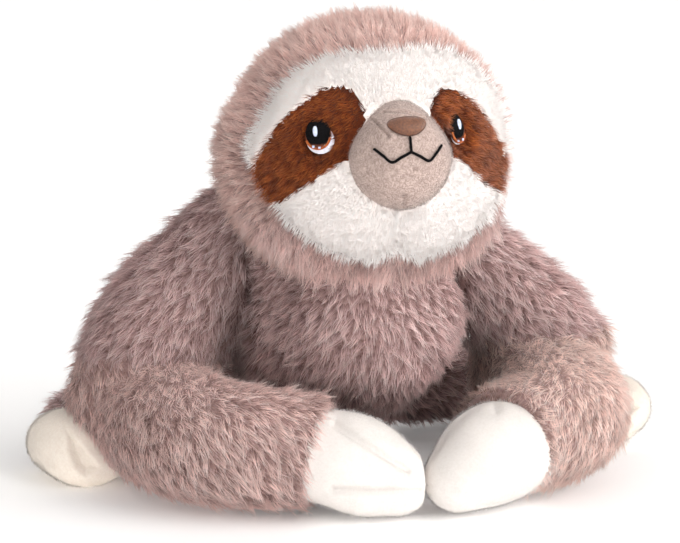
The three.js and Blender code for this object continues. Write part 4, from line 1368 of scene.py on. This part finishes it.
def make_foot(hand, side):
    form = stuffed_form(foot_stations(hand, side), ASIDE, FOOT_SLACK)
    foot = rounded_skin(f"foot_{hand}", [form], smoothing=3)
    move_to(foot, foot_shaped(places(foot), hand, side))
    points = places(foot)
    held = np.maximum(groove(line_gap(points, FOOT_CREASES[hand]), 1.0, 4.0),
                      steady(points[:, 1], ANKLE_BACK - 14, ANKLE_BACK - 6))
    puffed(foot, held, FOOT_SWELL)
    refined(foot, 2)
    cut_flat(foot, (0, ANKLE_BACK + FOOT_OVER, 0), (0, 1, 0))
    cut_flat(foot, (0, 0, SOLE_HEIGHT), (0, 0, -1))
    points = places(foot)
    gap = line_gap(points, FOOT_CREASES[hand])
    inner = edge_distance(points[:, [0, 2]], [(x, z) for x, _, z in FOOT_CREASES[hand]])
    dip = groove(gap, 2.0, 1.6) + 5.0 * steady(inner, -0.5, 4)
    dip *= off_floor(points) * steady(points[:, 1], 34, 24)
    move_to(foot, points - normals(foot) * dip[:, None])
    coated(foot, -BACK - UP * 0.2, FUZZ_LENGTH)
    planted(f"foot_fuzz_{hand}", foot, FUZZ_TUFTS, FOOT_FUZZ, f"leg_{hand}", "foot_plush",
            Seed=70 + side, **FUZZ)
    dress_skin(foot, FOOT_PLUSH, f"leg_{hand}",
               (f"foot_cover_{hand}", f"foot_stuffing_{hand}"))


# Muzzle

MUZZLE_WIDTH = 0.97
BRIDGE_PULL = 0.24
# How far below the muzzle's outside its cloth lies under the nap
VELVET_PILE = 0.6
# The folds beside the nose, with a low ridge along each, and the dart at the chin: depth or height, and width
FOLD = (1.9, 0.9)
RIDGE = (0.7, 1.3)
RIDGE_AWAY = 2.4
DART = (1.8, 1.2)
MUZZLE_FOLDS = [[(-31, 31), (-23, 20), (-16.5, 12.5)], [(-21, 32), (-4.5, 28.5), (14.5, 23)]]
MUZZLE_DART = [(-4.5, -26), (-2.5, -40)]


def muzzle_shaped(points):
    """The ball of the muzzle, drawn in at the sides and most of all at the bridge of the nose."""
    out = points - MUZZLE_CENTRE
    width = MUZZLE_WIDTH - BRIDGE_PULL * steady(out @ RISE, -5, MUZZLE_RADIUS)
    return points - np.outer(out @ ASIDE * (1 - width), ASIDE)


def on_muzzle(aside, up, height):
    spot = on_ball(MUZZLE_CENTRE, MUZZLE_RADIUS, aside, up, MUZZLE_RADIUS + height)
    return muzzle_shaped(spot[None])[0]


def make_muzzle():
    muzzle = ball("muzzle", MUZZLE_CENTRE, MUZZLE_RADIUS - VELVET_PILE)
    points = places(muzzle)
    chart = chart_of(points, MUZZLE_CENTRE, MUZZLE_RADIUS)
    dip = groove(line_gap(chart, MUZZLE_DART), *DART)
    for fold in MUZZLE_FOLDS:
        gap = line_gap(chart, fold)
        dip += groove(gap, *FOLD) - groove(gap - RIDGE_AWAY, *RIDGE)
    points = muzzle_shaped(points - units(points - MUZZLE_CENTRE) * dip[:, None])
    move_to(muzzle, points)
    coated(muzzle, -FRONT - UP * 0.2, VELVET_LENGTH, lambda spots: (head_depth(spots) < 12).astype(float))
    planted("muzzle_fuzz", muzzle, FUZZ_TUFTS, VELVET_FUZZ, "head", "velvet", Seed=80,
            **{**FUZZ, "Spacing": 1.15 * MM, "Unruly": 1.4, "Unruly size": 0.0035})
    dress_skin(muzzle, VELVET, "head", ("muzzle_cover", "muzzle_stuffing"))


# Embroidery

# How thick the satin threads are, and how far apart
SATIN_RADIUS = 0.33
SATIN_SPACING = 0.5
# Each layer of an eye: how high it stands, how much it swells, its thread and its slot
EYE_THREADS = {
    "white": (0.1, 1.2, WHITE_THREAD, "white_thread"),
    "iris": (0.5, 1.3, IRIS_THREAD, "iris_thread"),
    "pupil": (1.0, 1.4, BLACK_THREAD, "black_thread"),
}
# The ember-coloured arcs low in the iris: how far inside its edge, from where and how far round
RIM_INSETS = (0.3, 0.9)
RIM_FROM = -160
RIM_ROUND = 150


def sewn(name, lines, radius, material, slot, *nodes):
    """Threads along the lines given, as one plain mesh on the head."""
    curve = bpy.data.curves.new(name, "CURVE")
    curve.dimensions = "3D"
    for line in lines:
        spline = curve.splines.new("POLY")
        spline.points.add(len(line) - 1)
        for point, place in zip(spline.points, line):
            point.co = (*(np.asarray(place) * MM), 1.0)
    source = linked(name + "_lines", curve)
    grow(source, THREADS, {"Radius": radius * MM, "Material": material})
    ready = source.evaluated_get(bpy.context.evaluated_depsgraph_get())
    mesh = bpy.data.meshes.new_from_object(ready)
    mesh.name = name
    bpy.data.objects.remove(source)
    bpy.data.curves.remove(curve)
    piece = linked(name, mesh)
    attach(piece, "head")
    if nodes:
        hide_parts(*nodes)


def satin(place, size, base, lift, upright=False, points=7):
    """Side by side threads that fill an oval on the head, raised in the middle."""
    aside, up = place
    across, along = (size[1] / 2, size[0] / 2) if upright else (size[0] / 2, size[1] / 2)
    count = int(2 * along / SATIN_SPACING)
    lines = []
    for row in range(count):
        offset = -along + (row + 0.5) * 2 * along / count
        half = across * math.sqrt(max(1 - (offset / along) ** 2, 0.0))
        if half < 0.4:
            continue
        line = []
        for step in range(points):
            share = -1 + 2 * step / (points - 1)
            x, y = (offset, share * half) if upright else (share * half, offset)
            dome = 1 - (offset / along) ** 2 * 0.6
            height = base + lift * dome * (1 - abs(share) ** 2.5)
            line.append(on_ball(HEAD_CENTRE, HEAD_RADIUS, aside + x, up + y, HEAD_RADIUS + height))
        lines.append(line)
    return lines


def make_eye(hand, side):
    """The same ovals as the solids': outward and up from the middle of the eye, and width and height."""
    def layer(place, base, lift, upright=False):
        aside, up, width, height = place
        middle = (side * (EYE_ASIDE + aside) + EYE_SHIFT, EYE_RISE + up)
        return satin(middle, (width, height), EYE_SEAT - HEAD_RADIUS + base, lift, upright)

    for part, (base, lift, thread, slot) in EYE_THREADS.items():
        lines = layer(EYE_LAYERS[hand][part], base, lift, upright=part == "pupil")
        sewn(f"eye_{part}_threads_{hand}", lines, SATIN_RADIUS, thread, slot, f"eye_{part}_{hand}")
    glints = [line for glint in GLINTS for line in layer(*glint)]
    sewn(f"eye_glint_threads_{hand}", glints, 0.3, GLINT_THREAD, "white_thread", f"eye_glint_{hand}")
    iris_aside, iris_up, iris_width, iris_height = EYE_LAYERS[hand]["iris"]
    arcs = []
    for inset in RIM_INSETS:
        arc = []
        for step in range(25):
            turn = math.radians(RIM_FROM + RIM_ROUND * step / 24)
            aside = EYE_ASIDE + iris_aside - (iris_width / 2 - inset) * math.cos(turn)
            up = EYE_RISE + iris_up + (iris_height / 2 - inset) * math.sin(turn)
            height = EYE_SEAT + 1.9 - 0.2 * inset
            arc.append(on_ball(HEAD_CENTRE, HEAD_RADIUS, side * aside + EYE_SHIFT, up, height))
        arcs.append(arc)
    sewn(f"eye_rim_threads_{hand}", arcs, 0.4, EMBER_THREAD, "iris_thread")


NOSE_SHIFT = -2.6
NOSE_RISE = 17.2
NOSE_SIZE = (29.2, 12.0)
MOUTH_RISE = 2.1
# How high nose and mouth stand on the muzzle, and how much each swells
STITCH_BASE = 0.25
NOSE_SWELL = 1.7
MOUTH_SWELL = 0.8
MOUTH_SPACING = 0.42
# Half of the nose from the top down, as shares of its width and height
NOSE_SHARES = [(0.0, 0.5), (0.28, 0.48), (0.44, 0.39), (0.5, 0.24), (0.46, 0.02), (0.34, -0.22),
               (0.18, -0.42), (0.0, -0.5)]


def nose_reach(x):
    """The highest and lowest place of the nose's outline at a distance from its middle."""
    half = np.array([along_curve(NOSE_SHARES, step / 60) for step in range(61)]) * NOSE_SIZE
    widest = int(np.argmax(half[:, 0]))
    upper, lower = half[:widest + 1], half[widest:]
    return np.interp(x, upper[:, 0], upper[:, 1]), np.interp(x, lower[::-1, 0], lower[::-1, 1])


def make_nose():
    half = NOSE_SIZE[0] / 2
    lines = []
    count = int(2 * half / SATIN_SPACING)
    for row in range(count):
        x = -half + (row + 0.5) * 2 * half / count
        high, low = nose_reach(abs(x))
        if high - low < 1.2:
            continue
        dome = math.sqrt(max(1 - (x / half) ** 2, 0.0))
        line = []
        for step in range(9):
            share = -1 + step / 4
            y = (high + low) / 2 + share * (high - low) / 2
            height = STITCH_BASE + NOSE_SWELL * dome * (1 - abs(share) ** 2.5)
            line.append(on_muzzle(NOSE_SHIFT + x, NOSE_RISE + y, height))
        lines.append(line)
    sewn("nose_threads", lines, SATIN_RADIUS, NOSE_THREAD, "nose_thread", "nose")
    rim = [along_curve(NOSE_SHARES, step / 24) * NOSE_SIZE for step in range(25)]
    rim += [(-x, y) for x, y in rim[-2:0:-1]]
    rim = [on_muzzle(NOSE_SHIFT + x, NOSE_RISE + y, 0.35) for x, y in rim + rim[:1]]
    sewn("nose_rim", [rim], 0.45, NOSE_RIM_THREAD, "nose_thread")


def make_mouth():
    lips = [(0.0, 0.0), (5.4, -2.6), (11.1, -5.3), (16.5, -1.3), (22.2, 2.9)]
    paths = [[(0.0, 8.3), (0.0, 4.1), (0.0, 0.0)]]
    paths += [[(side * x, y) for x, y in lips] for side in (1, -1)]
    lines = []
    for path in paths:
        length = sum(math.dist(a, b) for a, b in zip(path, path[1:]))
        count = int(length / MOUTH_SPACING)
        for step in range(count + 1):
            share = step / count
            spot = along_curve(path, share)
            ahead = heading(path, share)
            across = np.array((-ahead[1], ahead[0])) + ahead * 0.5
            line = []
            for end in (-1, -0.5, 0, 0.5, 1):
                x, y = spot + across * end * 0.62
                height = STITCH_BASE + MOUTH_SWELL * (1 - end * end)
                line.append(on_muzzle(NOSE_SHIFT + x, MOUTH_RISE + y, height))
            lines.append(line)
    sewn("mouth_threads", lines, 0.3, BLACK_THREAD, "black_thread", "mouth_line")


# Studio

# The floor's colour, and the glow that brings it up to the white of the world behind it
FLOOR_COLOUR = (0.92, 0.92, 0.92, 1.0)
FLOOR_GLOW = 0.08
FLOOR_REACH = 9000
WORLD_COLOUR = (1.0, 0.96, 0.94, 1.0)
WORLD_LIGHT = 0.15
LAMP_COLOUR = (1.0, 0.985, 0.97)
# The way to each lamp, its strength, and how many degrees wide it is
LAMPS = {
    "key_light": ((0.78, -0.66, 0.56), 2.55, 60),
    "fill_light": ((-0.8, -0.6, 0.3), 0.6, 90),
    "top_light": ((-0.1, -0.1, 1.0), 1.3, 120),
    "bounce_light": ((0.0, -0.8, -0.6), 1.6, 120),
    "rim_light": ((0.3, 1.0, 0.45), 0.7, 60),
}


def staged(name, corners, finish):
    piece = new_piece(name, corners, [(0, 1, 2, 3)], smooth=False)
    piece.data.materials.append(finish)
    return piece


def make_studio():
    n = Nodes("studio_floor")
    seen = seen_by(n.tree, "Is Camera Ray", "Is Glossy Ray", "Is Transmission Ray")
    plain = n.add("BsdfDiffuse", {"Color": FLOOR_COLOUR}).outputs["BSDF"]
    strength = n.add("Math", {0: seen, 1: FLOOR_GLOW}, operation="MULTIPLY").outputs["Value"]
    glow = n.add("Emission", {"Color": (1, 1, 1, 1), "Strength": strength}).outputs["Emission"]
    finish = n.finish(n.add("AddShader", {0: plain, 1: glow}).outputs["Shader"])
    ends = (-FLOOR_REACH, FLOOR_REACH)
    floor = staged("studio_floor", [(x, y, 0) for x, y in zip(ends + ends[::-1], np.repeat(ends, 2))], finish)
    floor.visible_shadow = False

    # A board under the floor keeps the light from below out of the hollow behind the paws
    board = staged("studio_board", [(-75, -92, -3), (75, -92, -3), (130, 110, -3), (-130, 110, -3)], finish)
    board.visible_camera = board.visible_diffuse = board.visible_glossy = False

    world = bpy.data.worlds.new("studio_world")
    bpy.context.scene.world = world
    world.use_nodes = True
    tree = world.node_tree
    tree.nodes.clear()
    light = add_node(tree, "ShaderNodeBackground", {
        "Color": WORLD_COLOUR, "Strength": WORLD_LIGHT}).outputs[0]
    white = add_node(tree, "ShaderNodeBackground").outputs[0]
    seen = seen_by(tree, "Is Camera Ray", "Is Glossy Ray")
    mix = add_node(tree, "ShaderNodeMixShader", {0: seen, 1: light, 2: white}).outputs[0]
    add_node(tree, "ShaderNodeOutputWorld", {"Surface": mix})

    for name, (way, strength, spread) in LAMPS.items():
        lamp = bpy.data.lights.new(name, "SUN")
        lamp.energy = strength
        lamp.angle = math.radians(spread)
        lamp.color = LAMP_COLOUR
        lamp.cycles.use_multiple_importance_sampling = False
        linked(name, lamp).rotation_euler = Vector(way).to_track_quat("Z", "Y").to_euler()


# The camera's view: degrees round and up, how far off it is, and where its middle lies
VIEW_AROUND = -17
VIEW_UP = 11
VIEW_DISTANCE = 2200.0
VIEW_CENTRE = np.array((0.0, 0.0, 110.0))
VIEW_SHIFT = (-10.2, 9.7)
LENS = 200.35


def make_camera():
    azimuth, elevation = math.radians(VIEW_AROUND), math.radians(VIEW_UP)
    back = np.array((math.sin(azimuth) * math.cos(elevation), -math.cos(azimuth) * math.cos(elevation),
                     math.sin(elevation)))
    right = np.array((math.cos(azimuth), math.sin(azimuth), 0.0))
    over = np.cross(back, right)
    aim = VIEW_CENTRE + right * VIEW_SHIFT[0] + over * VIEW_SHIFT[1]
    camera = bpy.data.cameras.new("camera")
    camera.sensor_width = 36.0
    camera.lens = LENS
    camera.clip_start, camera.clip_end = 0.1, 60.0
    holder = linked("camera", camera)
    holder.location = Vector((aim + back * VIEW_DISTANCE) * MM)
    holder.rotation_euler = Vector(back).to_track_quat("Z", "Y").to_euler()
    bpy.context.scene.camera = holder


make_camera()
make_torso()
make_head()
for hand, side in HANDS:
    make_upper_arm(hand, side)
    make_forearm(hand, side)
    make_paw(hand, side)
    make_leg(hand, side)
    make_foot(hand, side)
    make_eye(hand, side)
make_muzzle()
make_nose()
make_mouth()
for node in frame["nodes"].values():
    if not node.hide_render:
        node.data.materials.clear()
        node.data.materials.append(NECK_CLOTH)
for group in (LONG_TUFTS, SHORT_TUFTS, FUZZ_TUFTS):
    for spare in list(group.objects):
        dropped(spare)
    bpy.data.collections.remove(group)
make_studio()
bpy.context.scene.view_settings.view_transform = "Standard"
